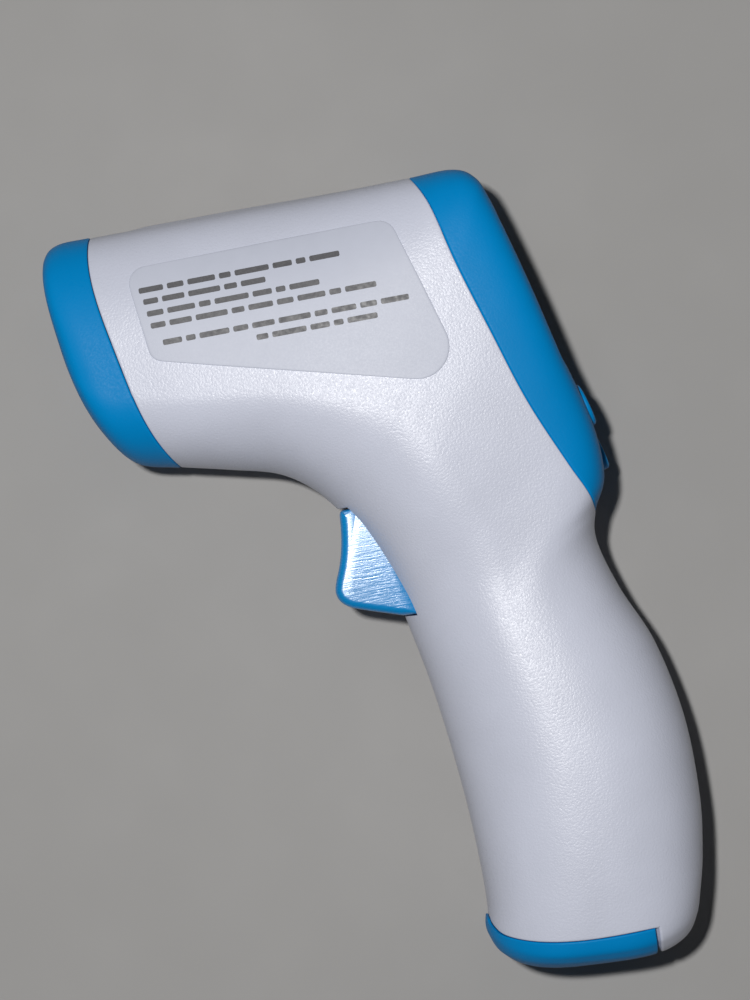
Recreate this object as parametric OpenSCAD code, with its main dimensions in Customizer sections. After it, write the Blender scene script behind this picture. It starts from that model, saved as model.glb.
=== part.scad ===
// Handheld infrared thermometer, pistol shape, lying on its right side.
// Millimetres. The nose points to -X, the handle to -Y, and the left side faces up.
// Every sub-part is drawn about the parting plane of the two shells, then lifted onto the floor.

/* [Casing] */
// Wall thickness of the moulded casing
wall = 2; // [1.6:0.1:2.4]
// Width of the joint line between two casing parts
seam_gap = 0.12; // [0.08:0.02:0.24]
// Width of the finger slot at the rear end of the battery door
door_slot = 0.6; // [0.4:0.1:0.8]
// Thickness of the rating label film
label_t = 0.15; // [0.1:0.05:0.2]
/* [Display] */
// Width of the display window
window_w = 31; // [26:0.5:32]
// Height of the display window
window_h = 32; // [28:0.5:33]
// Radius of each key
key_r = 4.1; // [3.4:0.1:4.3]
// Travel of each key
key_travel = 0.5; // [0.3:0.1:0.7]
/* [Trigger] */
// Width of the trigger
trigger_w = 15; // [12:0.5:15.5]
// Outer radius of the trigger's return spring
trigger_spring_r = 2.4; // [1.8:0.1:2.8]
/* [Sensor] */
// Radius of the round opening in front of the sensor
aperture_r = 8; // [6:0.5:8.5]
// Depth of the straight part of that opening
aperture_depth = 5; // [4:0.5:6]
/* [Battery] */
// Radius of a cell
cell_r = 5.2; // [5:0.05:5.25]
// Length of a cell
cell_length = 44.5; // [43:0.5:44.5]
/* [Hidden] */
$fn = 48;

shell_white = [0.86, 0.87, 0.92];
accent_blue = [0.01, 0.36, 0.68];
board_green = [0.05, 0.3, 0.13];
steel = [0.75, 0.76, 0.78];
nickel = [0.8, 0.78, 0.72];
black = [0.04, 0.04, 0.045];

// ---- The casing's outer form ----
// Stations along the casing, from the middle of the nose face to the middle of the handle's base.
// Each is [front x, front y, back x, back y, half thickness, bow, front exponent, back exponent, lean]:
// a section runs from the front line (underside and trigger side) to the back line (top and
// display side), bends towards the nose by its bow, and is a superellipse with the two exponents,
// whose thickest place is nearer to the front line by its lean.
STATIONS = [
    [-50.8, 57.6, -50.8, 57.6, 0, 0, 2.1, 3, 0],
    [-49.9, 51.4, -51.4, 64.6, 6.6, 0.2, 2.1, 3, 0.1],
    [-48.2, 45, -51.5, 70.2, 11.4, 0.8, 2.1, 3, 0.2],
    [-45.2, 37.8, -50.7, 74, 14.2, 1.7, 2.1, 3, 0.28],
    [-40.8, 32.5, -48, 75.8, 15.5, 2.5, 2.1, 3, 0.33],
    [-33.2, 30.4, -42, 76, 16, 2.8, 2, 3, 0.36],
    [-24, 28.2, -30, 76, 17.3, 2.2, 1.95, 3, 0.38],
    [-15.2, 25.8, -14, 76, 18.6, 1.2, 1.95, 3, 0.38],
    [-9.2, 21.8, 3, 75.9, 19.7, 0.5, 1.95, 3.4, 0.37],
    [-5, 16.8, 18.6, 75.9, 20.3, 0, 1.95, 4.5, 0.35],
    [-2.2, 12.5, 26.9, 75.8, 20.5, 0, 1.95, 6, 0.33],
    [-0.9, 9.6, 30.8, 73.7, 20.5, 0, 1.95, 8, 0.3],
    [0.2, 7, 33, 69, 20.5, 0, 1.95, 9, 0.27],
    [1.2, 4.2, 36.9, 54.7, 20.3, 0, 1.95, 10, 0.2],
    [2.3, 0.6, 40.8, 38.8, 19.5, 0, 1.95, 9, 0.14],
    [3.3, -3.4, 44.5, 25, 18.4, 0, 1.95, 7, 0.1],
    [4.3, -8.5, 45.2, 14.6, 17.7, 0, 1.95, 5, 0.08],
    [5.2, -13, 42.6, 8.3, 17.6, 0, 1.95, 3.6, 0.06],
    [6.1, -18, 41.9, 2.5, 17.9, 0, 1.95, 2.8, 0.05],
    [7.1, -25, 44.6, -7, 18.5, 0, 2, 2.6, 0.03],
    [8.1, -34, 49.3, -18.2, 19.1, 0, 2.05, 2.5, 0.02],
    [8.9, -44, 52.2, -33, 19.5, 0, 2.15, 2.5, 0],
    [9.25, -54, 52.4, -48, 19.3, -1, 2.3, 2.5, 0],
    [9.2, -60.5, 51, -58.5, 18.6, -3.6, 2.45, 2.6, 0],
    [8.9, -64, 49.3, -65.3, 17.4, -6.2, 2.6, 2.8, 0],
    [8.6, -67.2, 48, -69.6, 15.4, -4.9, 2.7, 2.8, 0],
    [10, -70.6, 45.7, -73.2, 12.4, -2.7, 2.7, 2.7, 0],
    [14.8, -73.8, 41.2, -75, 8.2, -1, 2.5, 2.5, 0],
    [27.5, -75.8, 27.5, -75.8, 0, 0, 2.5, 2.5, 0]
];
nose_station = 5;
last_station = len(STATIONS) - 1;
bow_exponent = 3.5;
// Distance from the parting plane to the flat that the thermometer lies on
rest_depth = 20.3;
bbox_middle = [0.43, 0.1];
// Beyond the casing on every side
far = 90;

// Joint line of the display bezel, from the top edge to the thumb rest
BEZEL_LINE = [[17.6, 80], [18.9, 76.2], [21.6, 69.6], [24.6, 57.5], [28.6, 44.2], [32.9, 30.6],
    [38.2, 18.2], [41, 12.4], [42.3, 8.4], [43.5, 4]];
// Joint line of the battery door, from the front of the handle towards its back
DOOR_LINE = [[6, -61.6], [8.7, -63.3], [9.4, -65.1], [11.6, -66.9], [18.2, -68.5], [27.4, -69.4],
    [38.8, -69.5]];
// Corner circles of the rating label: [x, y, radius]
LABEL_CORNERS = [[-32.4, 64.7, 3.2], [11.4, 64.9, 3.2], [14.6, 43.9, 6], [-31.5, 52.4, 2.6]];

function blend4(p0, p1, p2, p3, f) =
    p1 + 0.5 * f * (p2 - p0 + f * (2 * p0 - 5 * p1 + 4 * p2 - p3 + f * (3 * p1 - p0 - 3 * p2 + p3)));
function along(table, t) =
    let (n = len(table) - 1, i = min(floor(t), n - 1))
    blend4(table[max(i - 1, 0)], table[i], table[i + 1], table[min(i + 2, n)], t - i);
function curve(points, steps) =
    [for (k = [0 : (len(points) - 1) * steps]) along(points, k / steps)];
function left_of(d) = [-d[1], d[0]] / norm(d);

// The station at t, moved inwards by w
function station(t, w) =
    let (s = along(STATIONS, t), e = 0.05,
        s0 = along(STATIONS, max(t - e, 0)), s1 = along(STATIONS, min(t + e, last_station)),
        front_in = left_of([s1[0] - s0[0], s1[1] - s0[1]]),
        back_in = -left_of([s1[2] - s0[2], s1[3] - s0[3]]))
    [[s[0], s[1]] + w * front_in, [s[2], s[3]] + w * back_in, max(s[4] - w, 0.3),
        s[5], s[6], s[7], s[8]];
function power(x, p) = x <= 0 ? 0 : pow(x, p);
// Point on a station's section at the share v of its chord (-1 front, 1 back) and height z
function section_xy(s, v) =
    let (half = (s[1] - s[0]) / 2)
    s[0] + half * (1 + v) + left_of(half) * s[3] * (1 - power(abs(v), bow_exponent));
function section_point(s, a) =
    let (c = -cos(a), n = c < 0 ? s[4] : s[5],
        v = sign(c) * power(abs(c), 2 / n),
        p = section_xy(s, v - s[6] * (1 - abs(v))))
    [p[0], p[1], s[2] * sign(sin(a)) * power(abs(sin(a)), 2 / n)];

// Solid bounded by the casing's outer form, moved inwards by w
module body_solid(w = 0, per_station = 3, sides = 32) {
    first = w > 0.5 ? 0.6 : 0.04;
    last = last_station - first;
    rows = ceil((last - first) * per_station);
    loops = [for (k = [0 : rows])
        let (s = station(first + (last - first) * k / rows, w))
        [for (j = [0 : sides - 1]) section_point(s, 360 * j / sides)]];
    ends = [for (k = [0, rows]) let (s = station(first + (last - first) * k / rows, w))
        let (p = section_xy(s, 0)) [p[0], p[1], 0]];
    points = concat([for (l = loops) each l], ends);
    n = (rows + 1) * sides;
    quads = [for (k = [0 : rows - 1], j = [0 : sides - 1])
        let (a = k * sides + j, b = k * sides + (j + 1) % sides)
        each [[a, b, b + sides], [a, b + sides, a + sides]]];
    caps = [for (j = [0 : sides - 1])
        let (j2 = (j + 1) % sides)
        each [[n, j2, j], [n + 1, rows * sides + j, rows * sides + j2]]];
    polyhedron(points, concat(quads, caps), convexity = 10);
}

// ---- Regions of the side view ----
module nose_region() {
    s = station(nose_station, 0);
    line = [for (k = [0 : 24]) section_xy(s, 1 - k / 12)];
    polygon(concat([[-far, far], line[0] + [0.4, 13.6]], line, [line[24] + [2, -4], [-far, 20]]));
}
module bezel_region() {
    polygon(concat(curve(BEZEL_LINE, 4), [[far, 4], [far, far]]));
}
module door_region() {
    end = DOOR_LINE[len(DOOR_LINE) - 1];
    polygon(concat(curve(DOOR_LINE, 4), [[end[0], -far], [-10, -far], [-10, DOOR_LINE[0][1]]]));
}
module door_hole() {
    end = DOOR_LINE[len(DOOR_LINE) - 1];
    door_region();
    translate([end[0] - 1, -far]) square([1 + door_slot, end[1] + far]);
}
module label_region() hull() for (c = LABEL_CORNERS) translate([c[0], c[1]]) circle(c[2], $fn = 32);
module prism(z0 = -30, z1 = 30) translate([0, 0, z0]) linear_extrude(z1 - z0) children();

// Booleans between many-sided forms are done on their meshes. The size doesn't change.
module meshed() resize([0, 0, 0]) children();
module skin() {
    difference() {
        body_solid();
        body_solid(wall, 2, 24);
    }
}

// ---- Places ----
display_at = [38.7, 46.7];
display_turn = 15.1;
module on_display() translate(display_at) rotate(display_turn) children();
sensor_at = [-51.1, 57.2];
sensor_turn = 186.5;
nose_bore_r = 10.8;
module on_sensor() translate(sensor_at) rotate(sensor_turn) children();
// Cylinder along the local X axis
module rod_x(x0, x1, r) translate([x0, 0, 0]) rotate([0, 90, 0]) cylinder(r = r, h = x1 - x0);
// Box between two corners, given as ranges
module block(x, y, z) translate([x[0], y[0], z[0]]) cube([x[1] - x[0], y[1] - y[0], z[1] - z[0]]);

window_y = 4.5;
window_r = 2.4;
window_play = 0.1;
glass_front = -0.6;
glass_t = 1.3;
tray_front = -2.9;
tray_back = -7.2;
tray_half = 15.1;
board_front = -7.6;
board_t = 1.6;
board_back = board_front - board_t;
// Keys: [place along the display's face, place across it, top, bottom], from the face's plane
MODE_KEY = [-28, 0, 0, -4.9];
UP_KEY = [-19.4, 8, 0.7, -3];
DOWN_KEY = [-19.4, -8, 0.7, -3];
KEYS = [MODE_KEY, UP_KEY, DOWN_KEY];
key_flange = 0.35;
key_flange_t = 0.5;
key_edge = [0.4, 0.7];
key_play = 0.2;
plunger_r = 1.6;
plunger_length = 1.1;
plunger_hold = 0.8;
plunger_play = 0.08;
switch_half = 3;
BOARD_SCREWS = [[-14.8, 13.2], [-14.8, -13.2], [23.6, 10.5], [23.6, -10.5]];
CASE_SCREWS = [[-28, 67], [-25, 37], [12, 66], [14, 26], [44, -24], [42.5, -56]];
module on_board_screws() on_display() for (p = BOARD_SCREWS) translate([0, p[0], p[1]]) children();
module on_key(k) on_display() translate([0, k[0], k[1]]) children();
boss_r = 3;
recess_r = 3;
recess_wall = 1.2;
recess_floor = -8;
post_gap = 0.03;
pilot_r = 1.3;
pilot_depth = 8;
screw_hole_r = 1.7;
screw_r = 1.25;
screw_length = 12;
screw_head = [2.6, 1.8];
board_post_r = 2.2;
board_pilot_r = 0.95;
board_screw_r = 0.85;
board_screw_length = 5.6;
board_screw_head = [2, 1.2];
rib_t = 1.2;
rib_play = 0.2;
rib_gap = 0.05;

trigger_pivot = [-0.5, 20];
pivot_r = 1.2;
pivot_play = 0.05;
pivot_half = 11.4;
pivot_post_r = 3;
pin_end_play = 0.4;
nub_y = 10;
trigger_back = 4.5;
switch_front = 7;
trigger_board_x = 10.5;
spring_y = -1;
spring_foot = 1.2;
spring_seat = 11;
spring_pocket_y = [-4, 7];
spring_pocket_half = 5;
spring_wire_r = 0.25;
slot_half = 7.9;

front_cell_x = 20.2;
rear_cell_x = 31.4;
cell_bottom = -67;
cell_top = cell_bottom + cell_length;
holder_x = [13.4, 38.2];
holder_y = [-66.4, -18];
door_pivot = [14.6, -60.9];
hinge_pin_r = 1;
hinge_pin_end = 11.4;
knuckle_r = 1.6;
knuckle_play = 0.02;
hinge_arm_z = [7, 8.6];
hinge_post_r = 2.4;
hinge_play = 0.3;
door_plate_y = -70.7;

// ---- Wires and springs ----
// Tube of round section along a path, with flat ends
module tube(path, r, sides = 8) {
    n = len(path);
    rings = [for (i = [0 : n - 1])
        let (d = path[min(i + 1, n - 1)] - path[max(i - 1, 0)],
            u0 = abs(d[2]) < 0.8 * norm(d) ? cross(d, [0, 0, 1]) : cross(d, [1, 0, 0]),
            u = u0 / norm(u0), w = cross(d, u) / norm(d))
        [for (j = [0 : sides - 1])
            path[i] + r * (cos(360 * j / sides) * u + sin(360 * j / sides) * w)]];
    sidewalls = [for (i = [0 : n - 2], j = [0 : sides - 1])
        let (a = i * sides + j, b = i * sides + (j + 1) % sides)
        each [[a, b, b + sides], [a, b + sides, a + sides]]];
    ends = [for (j = [1 : sides - 2])
        each [[0, j + 1, j], [(n - 1) * sides, (n - 1) * sides + j, (n - 1) * sides + j + 1]]];
    polyhedron([for (g = rings) each g], concat(sidewalls, ends));
}
function helix(turns, r0, r1, height, steps) =
    [for (k = [0 : turns * steps])
        let (f = k / (turns * steps), a = 360 * turns * f, r = r0 + (r1 - r0) * f)
        [r * cos(a), r * sin(a), height * f]];

// ---- Casing ----
module slot_for_trigger() {
    block([-14, 10], [-5.1, 17.2], [-slot_half, slot_half]);
    block([-2.8, 5], [17, 23.5], [-slot_half, slot_half]);
}
module pivot_bore(at, r, half) translate([at[0], at[1], -half])
    cylinder(r = r + pivot_play, h = 2 * half, $fn = 24);
module below_rest() block([-far, far], [-far, far], [-30 - rest_depth, -rest_depth]);
// Range of heights from the parting plane outwards, for the left (1) or the right (-1) shell
function outwards(s, z0, z1) = s > 0 ? [z0, z1] : [-z1, -z0];
module post(s, at, z0, r) translate([at[0], at[1], s > 0 ? z0 : -30])
    cylinder(r = r, h = 30 - z0, $fn = 20);
module ribs(s) {
    block([spring_seat, spring_seat + 1.5], [-6, 3.4], outwards(s, rib_gap, 30));
    for (x = [trigger_board_x - rib_play - rib_t, trigger_board_x + board_t + rib_play])
        block([x, x + rib_t], [13.5, 17.5], outwards(s, 9, 30));
    for (y = [-52, -38, -24], x = [[10, holder_x[0] - rib_play], [holder_x[1] + rib_play, 52]])
        block(x, [y, y + rib_t], outwards(s, rib_gap, 30));
}
module shell_half(s) {
    difference() {
        union() {
            difference() {
                intersection() {
                    skin();
                    block([-far, far], [-far, far], outwards(s, 0, 30));
                }
                prism() offset(delta = seam_gap / 2) nose_region();
                prism() offset(delta = seam_gap / 2) bezel_region();
            }
            intersection() {
                body_solid(wall / 2, 2, 24);
                union() {
                    for (p = CASE_SCREWS) post(s, p, post_gap, s > 0 ? boss_r : recess_r + recess_wall);
                    post(s, trigger_pivot, slot_half + hinge_play, pivot_post_r);
                    post(s, door_pivot, hinge_arm_z[1] + hinge_play, hinge_post_r);
                    ribs(s);
                }
            }
        }
        slot_for_trigger();
        prism() offset(delta = seam_gap) door_hole();
        pivot_bore(trigger_pivot, pivot_r, pivot_half + pin_end_play);
        pivot_bore(door_pivot, hinge_pin_r, hinge_pin_end + hinge_play);
        for (p = CASE_SCREWS) translate([p[0], p[1], 0]) {
            if (s > 0) translate([0, 0, -1]) cylinder(r = pilot_r, h = pilot_depth + 1, $fn = 16);
            if (s < 0) {
                translate([0, 0, -10]) cylinder(r = screw_hole_r, h = 11, $fn = 16);
                translate([0, 0, -40]) cylinder(r = recess_r, h = 40 + recess_floor, $fn = 24);
            }
        }
        below_rest();
    }
}
module left_shell() color(shell_white) meshed() shell_half(1);
module right_shell() color(shell_white) meshed() shell_half(-1);
module nose_cap() color(accent_blue) meshed() difference() {
    intersection() {
        skin();
        prism() offset(delta = -seam_gap / 2) nose_region();
    }
    on_sensor() rod_x(-14, 6, nose_bore_r);
}
module rear_bezel() color(accent_blue) meshed() difference() {
    union() {
        intersection() {
            skin();
            prism() offset(delta = -seam_gap / 2) bezel_region();
        }
        intersection() {
            body_solid(wall / 2, 2, 24);
            on_board_screws() rod_x(board_front, 0, board_post_r);
        }
    }
    on_display() {
        translate([0, window_y, 0]) rotate([0, 90, 0]) translate([0, 0, -3]) linear_extrude(8)
            rounded_plate(window_h, window_w, window_r, 16);
    }
    for (k = KEYS) on_key(k) rod_x(-6, 4, key_r + key_play);
    on_board_screws() rod_x(board_front - 1, -2.4, board_pilot_r);
    below_rest();
}
// Hinge arm of the battery door, from its inside up and round the edge of the shells to the pivot
DOOR_ARM = [[17.8, -73.5], [17.8, -66.2], [14.2, -62.2], [15.6, -59.8], [20.4, -65], [20.4, -74.2]];
module battery_door() color(accent_blue) meshed() {
    intersection() {
        skin();
        prism() offset(delta = -seam_gap / 2) door_region();
    }
    intersection() {
        body_solid(wall / 2, 2, 24);
        for (s = [-1, 1])
            translate([0, 0, s > 0 ? hinge_arm_z[0] : -hinge_arm_z[1]])
                linear_extrude(hinge_arm_z[1] - hinge_arm_z[0]) difference() {
                    union() {
                        polygon(DOOR_ARM);
                        translate(door_pivot) circle(knuckle_r, $fn = 24);
                    }
                    translate(door_pivot) circle(hinge_pin_r + knuckle_play, $fn = 24);
                }
    }
    // Latch tongue at the rear end
    block([36.6, 38.6], [-73.6, -67.6], [-4, 4]);
}
module rating_label() color([0.93, 0.94, 0.97]) meshed() intersection() {
    difference() {
        body_solid(-label_t);
        body_solid(0);
    }
    prism(0, 30) label_region();
}
// Steel pins pressed into the knuckles of the two hinge arms
module door_pins() color(steel) for (s = [-1, 1])
    translate([door_pivot[0], door_pivot[1], s > 0 ? hinge_arm_z[0] : -hinge_pin_end])
        cylinder(r = hinge_pin_r, h = hinge_pin_end - hinge_arm_z[0]);
module case_screws() color(steel) for (p = CASE_SCREWS) translate([p[0], p[1], recess_floor]) {
    translate([0, 0, -screw_head[1]]) cylinder(r = screw_head[0], h = screw_head[1]);
    cylinder(r = screw_r, h = screw_length);
}

// ---- Display side ----
module rounded_plate(w, h, r, sides = 32) {
    square([w - 2 * r, h], center = true);
    square([w, h - 2 * r], center = true);
    for (i = [-1, 1], j = [-1, 1]) translate([i * (w / 2 - r), j * (h / 2 - r)]) circle(r, $fn = sides);
}
module display_window() color([0.1, 0.11, 0.12, 0.6]) on_display()
    translate([glass_front - glass_t, window_y, 0]) rotate([0, 90, 0]) linear_extrude(glass_t)
        rounded_plate(window_h - 4 * window_play, window_w - 4 * window_play, window_r - window_play);
module lcd_panel() color([0.55, 0.6, 0.55]) on_display() {
    block([-4.1, -3], [window_y - 13.4, window_y + 13.4], [-13, 13]);
    block([-5.2, -4.1], [window_y - 14, window_y + 13.4], [-13, 13]);
}
module lcd_tray() color([0.92, 0.92, 0.9]) on_display() difference() {
    block([tray_back, tray_front], [window_y - tray_half, window_y + tray_half], [-14.6, 14.6]);
    block([-5.4, 0], [window_y - 14.1, window_y + 13.6], [-13.2, 13.2]);
    for (y = [-12.4, 9.8]) block([tray_back - 1, 0], [window_y + y, window_y + y + 2.6], [-12.4, 12.4]);
}
module contact_strips() color([0.75, 0.4, 0.5]) on_display() for (y = [-12.2, 10])
    block([board_front, -5.2], [window_y + y, window_y + y + 2.2], [-12, 12]);
BOARD_OUTLINE = [[-33, -11.5], [-33, 11.5], [-18, 15.2], [21, 15.2], [25.6, 12.5], [25.6, -12.5],
    [21, -15.2], [-18, -15.2]];
module main_board() color(board_green) difference() {
    on_display() translate([board_back, 0, 0]) rotate([90, 0, 90]) linear_extrude(board_t)
        polygon(BOARD_OUTLINE);
    on_board_screws() rod_x(board_back - 1, board_front + 1, 1.15);
}
module board_screws() color(steel) on_board_screws() {
    rod_x(board_back - board_screw_head[1], board_back, board_screw_head[0]);
    rod_x(board_back, board_back + board_screw_length, board_screw_r);
}
module controller_chip() color(black) on_display() {
    block([board_back - 1.4, board_back], [-9, 1], [-5, 5]);
    for (i = [-5 : 5], s = [-1, 1])
        block([board_back - 0.5, board_back], [-4.2 + i * 0.8, -3.8 + i * 0.8], s > 0 ? [5, 6] : [-6, -5]);
}
// Small parts soldered to the back of the main board: [y, z, length, width, height]
BOARD_PARTS = [[-12.5, -7, 3.2, 5, 1.8], [-14, 1, 3.2, 1.6, 1], [-14, 6, 3.2, 1.6, 1],
    [4, -9, 2, 1.2, 0.8], [4, -12, 2, 1.2, 0.8], [-3, -11, 2, 1.2, 0.8], [0, -11, 2, 1.2, 0.8],
    [-25, 0, 5, 9, 3.5], [14, -8, 9, 5, 4]];
function about(middle, width) = [middle - width / 2, middle + width / 2];
module board_parts() color([0.65, 0.55, 0.4]) on_display() for (p = BOARD_PARTS)
    block([board_back - p[4], board_back], about(p[0], p[2]), about(p[1], p[3]));
module buzzer() color(black) on_display() translate([0, 12, 5]) difference() {
    rod_x(board_back - 4, board_back, 6);
    rod_x(board_back - 5, board_back - 3, 1);
}

// Keys, their plungers and switches
module key(k) color(accent_blue) on_key(k) {
    rod_x(k[3], k[2] - key_edge[0], key_r);
    translate([k[2] - key_edge[0], 0, 0]) rotate([0, 90, 0])
        cylinder(r1 = key_r, r2 = key_r - key_edge[1], h = key_edge[0]);
    rod_x(k[3], k[3] + key_flange_t, key_r + key_flange);
}
module plunger(k) color(black) on_key(k)
    rod_x(k[3] - plunger_length - plunger_hold, k[3], plunger_r);
module mode_key() key(MODE_KEY);
module up_key() key(UP_KEY);
module down_key() key(DOWN_KEY);
module mode_plunger() plunger(MODE_KEY);
module up_plunger() plunger(UP_KEY);
module down_plunger() plunger(DOWN_KEY);
module key_switches() color([0.25, 0.25, 0.27]) for (k = KEYS)
    on_key(k) difference() {
        block([board_front, k[3] - plunger_length], [-switch_half, switch_half], [-switch_half, switch_half]);
        rod_x(k[3] - plunger_length - plunger_hold - key_travel - 0.05, 0, plunger_r + plunger_play);
    }

// ---- Trigger ----
TRIGGER_FRONT = [[-4.4, 16.8], [-5, 16.2], [-5.25, 14], [-5.6, 11.4], [-6.2, 8.6], [-7, 6.1],
    [-7.9, 3.9], [-8.4, 1.9], [-7.9, 0.1], [-6.2, -1.4], [-3, -2.6], [0, -3.6], [3.4, -4.7]];
TRIGGER_BACK = [[7, -4.9], [7, 3], [trigger_back, 6], [trigger_back, 14], [2.2, 20.2], [1.3, 21.8],
    [-0.5, 22.5], [-2.1, 21.4], [-2.4, 20], [-2, 16.8]];
module trigger() color(accent_blue) {
    difference() {
        translate([0, 0, -trigger_w / 2]) linear_extrude(trigger_w)
            polygon(concat(curve(TRIGGER_FRONT, 2), TRIGGER_BACK));
        block([spring_foot, 8], spring_pocket_y, [-spring_pocket_half, spring_pocket_half]);
    }
    translate([trigger_pivot[0], trigger_pivot[1], -pivot_half]) cylinder(r = pivot_r, h = 2 * pivot_half);
}
module trigger_spring() color(steel) translate([spring_foot + 0.3, spring_y, 0]) rotate([0, 90, 0])
    tube(helix(6, trigger_spring_r - spring_wire_r, trigger_spring_r - spring_wire_r,
        spring_seat - spring_foot - 0.6, 10), spring_wire_r, 5);
module trigger_switch() color([0.25, 0.25, 0.27]) translate([0, nub_y, 0]) difference() {
    block([switch_front, trigger_board_x], [-switch_half, switch_half], [-switch_half, switch_half]);
    rod_x(switch_front - 1, switch_front + 2.2, plunger_r + plunger_play);
}
module trigger_plunger() color(black) translate([0, nub_y, 0])
    rod_x(trigger_back + 0.25, switch_front + plunger_hold, plunger_r);
module trigger_board() color(board_green)
    block([trigger_board_x, trigger_board_x + board_t], [4, 16], [-11, 11]);

// ---- Sensor ----
can_r = 4.1;
can_flange_r = 4.6;
can_back = -15.6;
can_flange_t = 0.5;
can_front = -11.4;
can_pin_r = 0.23;
can_pin_at = 2.5;
module on_can_pins() for (a = [45, 135, 225, 315]) rotate([a, 0, 0]) translate([0, can_pin_at, 0]) children();
module sensor_cone() color(black) on_sensor() rotate([0, 90, 0]) rotate_extrude() polygon([
    [aperture_r, -0.6], [10.6, -0.6], [10.6, -3.2], [10.75, -3.2], [10.75, -4.6], [10, -4.6], [10, -15],
    [8.2, -15], [8.2, -10.4], [4.4, -10.4], [aperture_r, -0.6 - aperture_depth]]);
module sensor_window() color([0.35, 0.33, 0.42]) on_sensor() rod_x(can_front, -10.7, 2.6);
module sensor_can() color(nickel) on_sensor() {
    rod_x(can_back + can_flange_t, can_front, can_r);
    rod_x(can_back, can_back + can_flange_t, can_flange_r);
    on_can_pins() rod_x(can_back - 3, can_back, can_pin_r);
}
module sensor_collar() color([0.78, 0.79, 0.8]) on_sensor() difference() {
    rod_x(can_back, -10.6, 8);
    rod_x(-20, -5, can_flange_r + 0.2);
}
module sensor_board() color(board_green) on_sensor() difference() {
    block([-17.4, -15.8], [-9, 9], [-9, 9]);
    on_can_pins() rod_x(-19, -15, 0.4);
}
sensor_lead_r = 1.1;
SENSOR_ROUTE = [[-33.6, 63.4, 3], [-30, 62.6, 3], [-24, 60.2, 2], [-14, 58, 1], [-2, 58, 0], [9, 59, 0],
    [17, 58.4, -2], [22, 56, -4], [24.4, 52.6, -4], [25.4, 50.6, -4]];
module sensor_lead() color([0.2, 0.2, 0.22]) tube(curve(SENSOR_ROUTE, 3), sensor_lead_r);

// ---- Battery compartment ----
holder_half = 6.6;
cell_play = 0.2;
contact_half = 3.4;
contact_t = 0.4;
tail_half = 0.5;
module battery_holder() color([0.82, 0.83, 0.86]) difference() {
    block(holder_x, holder_y, [-holder_half, holder_half]);
    for (x = [front_cell_x, rear_cell_x]) {
        translate([x, holder_y[0] - 1, 0]) rotate([-90, 0, 0])
            cylinder(r = cell_r + cell_play, h = holder_y[1] - holder_y[0]);
        block(about(x, 2 * tail_half + 0.4), [-24, -10], about(0, 1.2));
    }
}
module cell(x, plus_up) translate([x, plus_up ? cell_bottom : cell_top, 0])
    rotate([plus_up ? -90 : 90, 0, 0]) {
        cylinder(r = cell_r, h = cell_length - 1);
        cylinder(r = 1.9, h = cell_length);
    }
module front_cell() color([0.2, 0.22, 0.25]) cell(front_cell_x, true);
module rear_cell() color([0.2, 0.22, 0.25]) cell(rear_cell_x, false);
// Contact plates at the top of each cell, with a solder tail through the holder
module upper_contacts() color(nickel) {
    for (c = [[front_cell_x, cell_top], [rear_cell_x, holder_y[1] - 1 - contact_t]]) {
        block(about(c[0], 2 * contact_half), [c[1], c[1] + contact_t], [-contact_half, contact_half]);
        block(about(c[0], 2 * tail_half), [c[1] + contact_t, holder_y[1] + 1.4], about(0, contact_t));
    }
}
upper_spring_h = holder_y[1] - 1 - contact_t - cell_top;
lower_spring_h = cell_bottom - door_plate_y - contact_t;
module cell_spring(h) tube(helix(4, 3, 1.7, h - 2 * spring_wire_r, 10), spring_wire_r, 5);
module upper_spring() color(steel)
    translate([rear_cell_x, cell_top + upper_spring_h - spring_wire_r, 0]) rotate([90, 0, 0])
        cell_spring(upper_spring_h);
// The plate on the battery door joins the two cells: a spring under one, a raised button under the other
module door_contact() color(nickel) {
    block([front_cell_x - contact_half, rear_cell_x + contact_half],
        [door_plate_y, door_plate_y + contact_t], [-3.6, 3.6]);
    translate([rear_cell_x, door_plate_y + contact_t, 0]) rotate([-90, 0, 0])
        cylinder(r = 2.4, h = lower_spring_h - 0.02);
    for (x = [front_cell_x + 4.4, rear_cell_x - 4.4])
        block(about(x, 1.2), [-73.2, door_plate_y], [-1, 1]);
}
module door_spring() color(steel)
    translate([front_cell_x, door_plate_y + contact_t + spring_wire_r, 0]) rotate([-90, 0, 0])
        cell_spring(lower_spring_h);
RED_ROUTE = [[20.2, -16.6, 0], [20.2, -13, 0], [21.6, -7, 0], [24.6, 0, 1], [27.4, 7, 3], [29.6, 13, 5],
    [30.6, 18, 6]];
BLACK_ROUTE = [[31.4, -16.6, 0], [31.4, -13, -0.4], [31.2, -8, -3], [31.4, 0, -6], [31.6, 7, -7],
    [31.6, 12.6, -7], [31.2, 16.8, -6]];
TRIGGER_ROUTE = [[12.2, 8, -5], [14, 8.2, -5], [18, 10, -3], [22.4, 13.6, -1], [26, 17.6, -1],
    [29.4, 20.6, -1]];
battery_lead_r = 0.65;
trigger_lead_r = 0.8;
module red_lead() color([0.7, 0.03, 0.03]) tube(curve(RED_ROUTE, 3), battery_lead_r);
module black_lead() color(black) tube(curve(BLACK_ROUTE, 3), battery_lead_r);
module trigger_lead() color([0.8, 0.75, 0.1]) tube(curve(TRIGGER_ROUTE, 3), trigger_lead_r);

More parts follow.
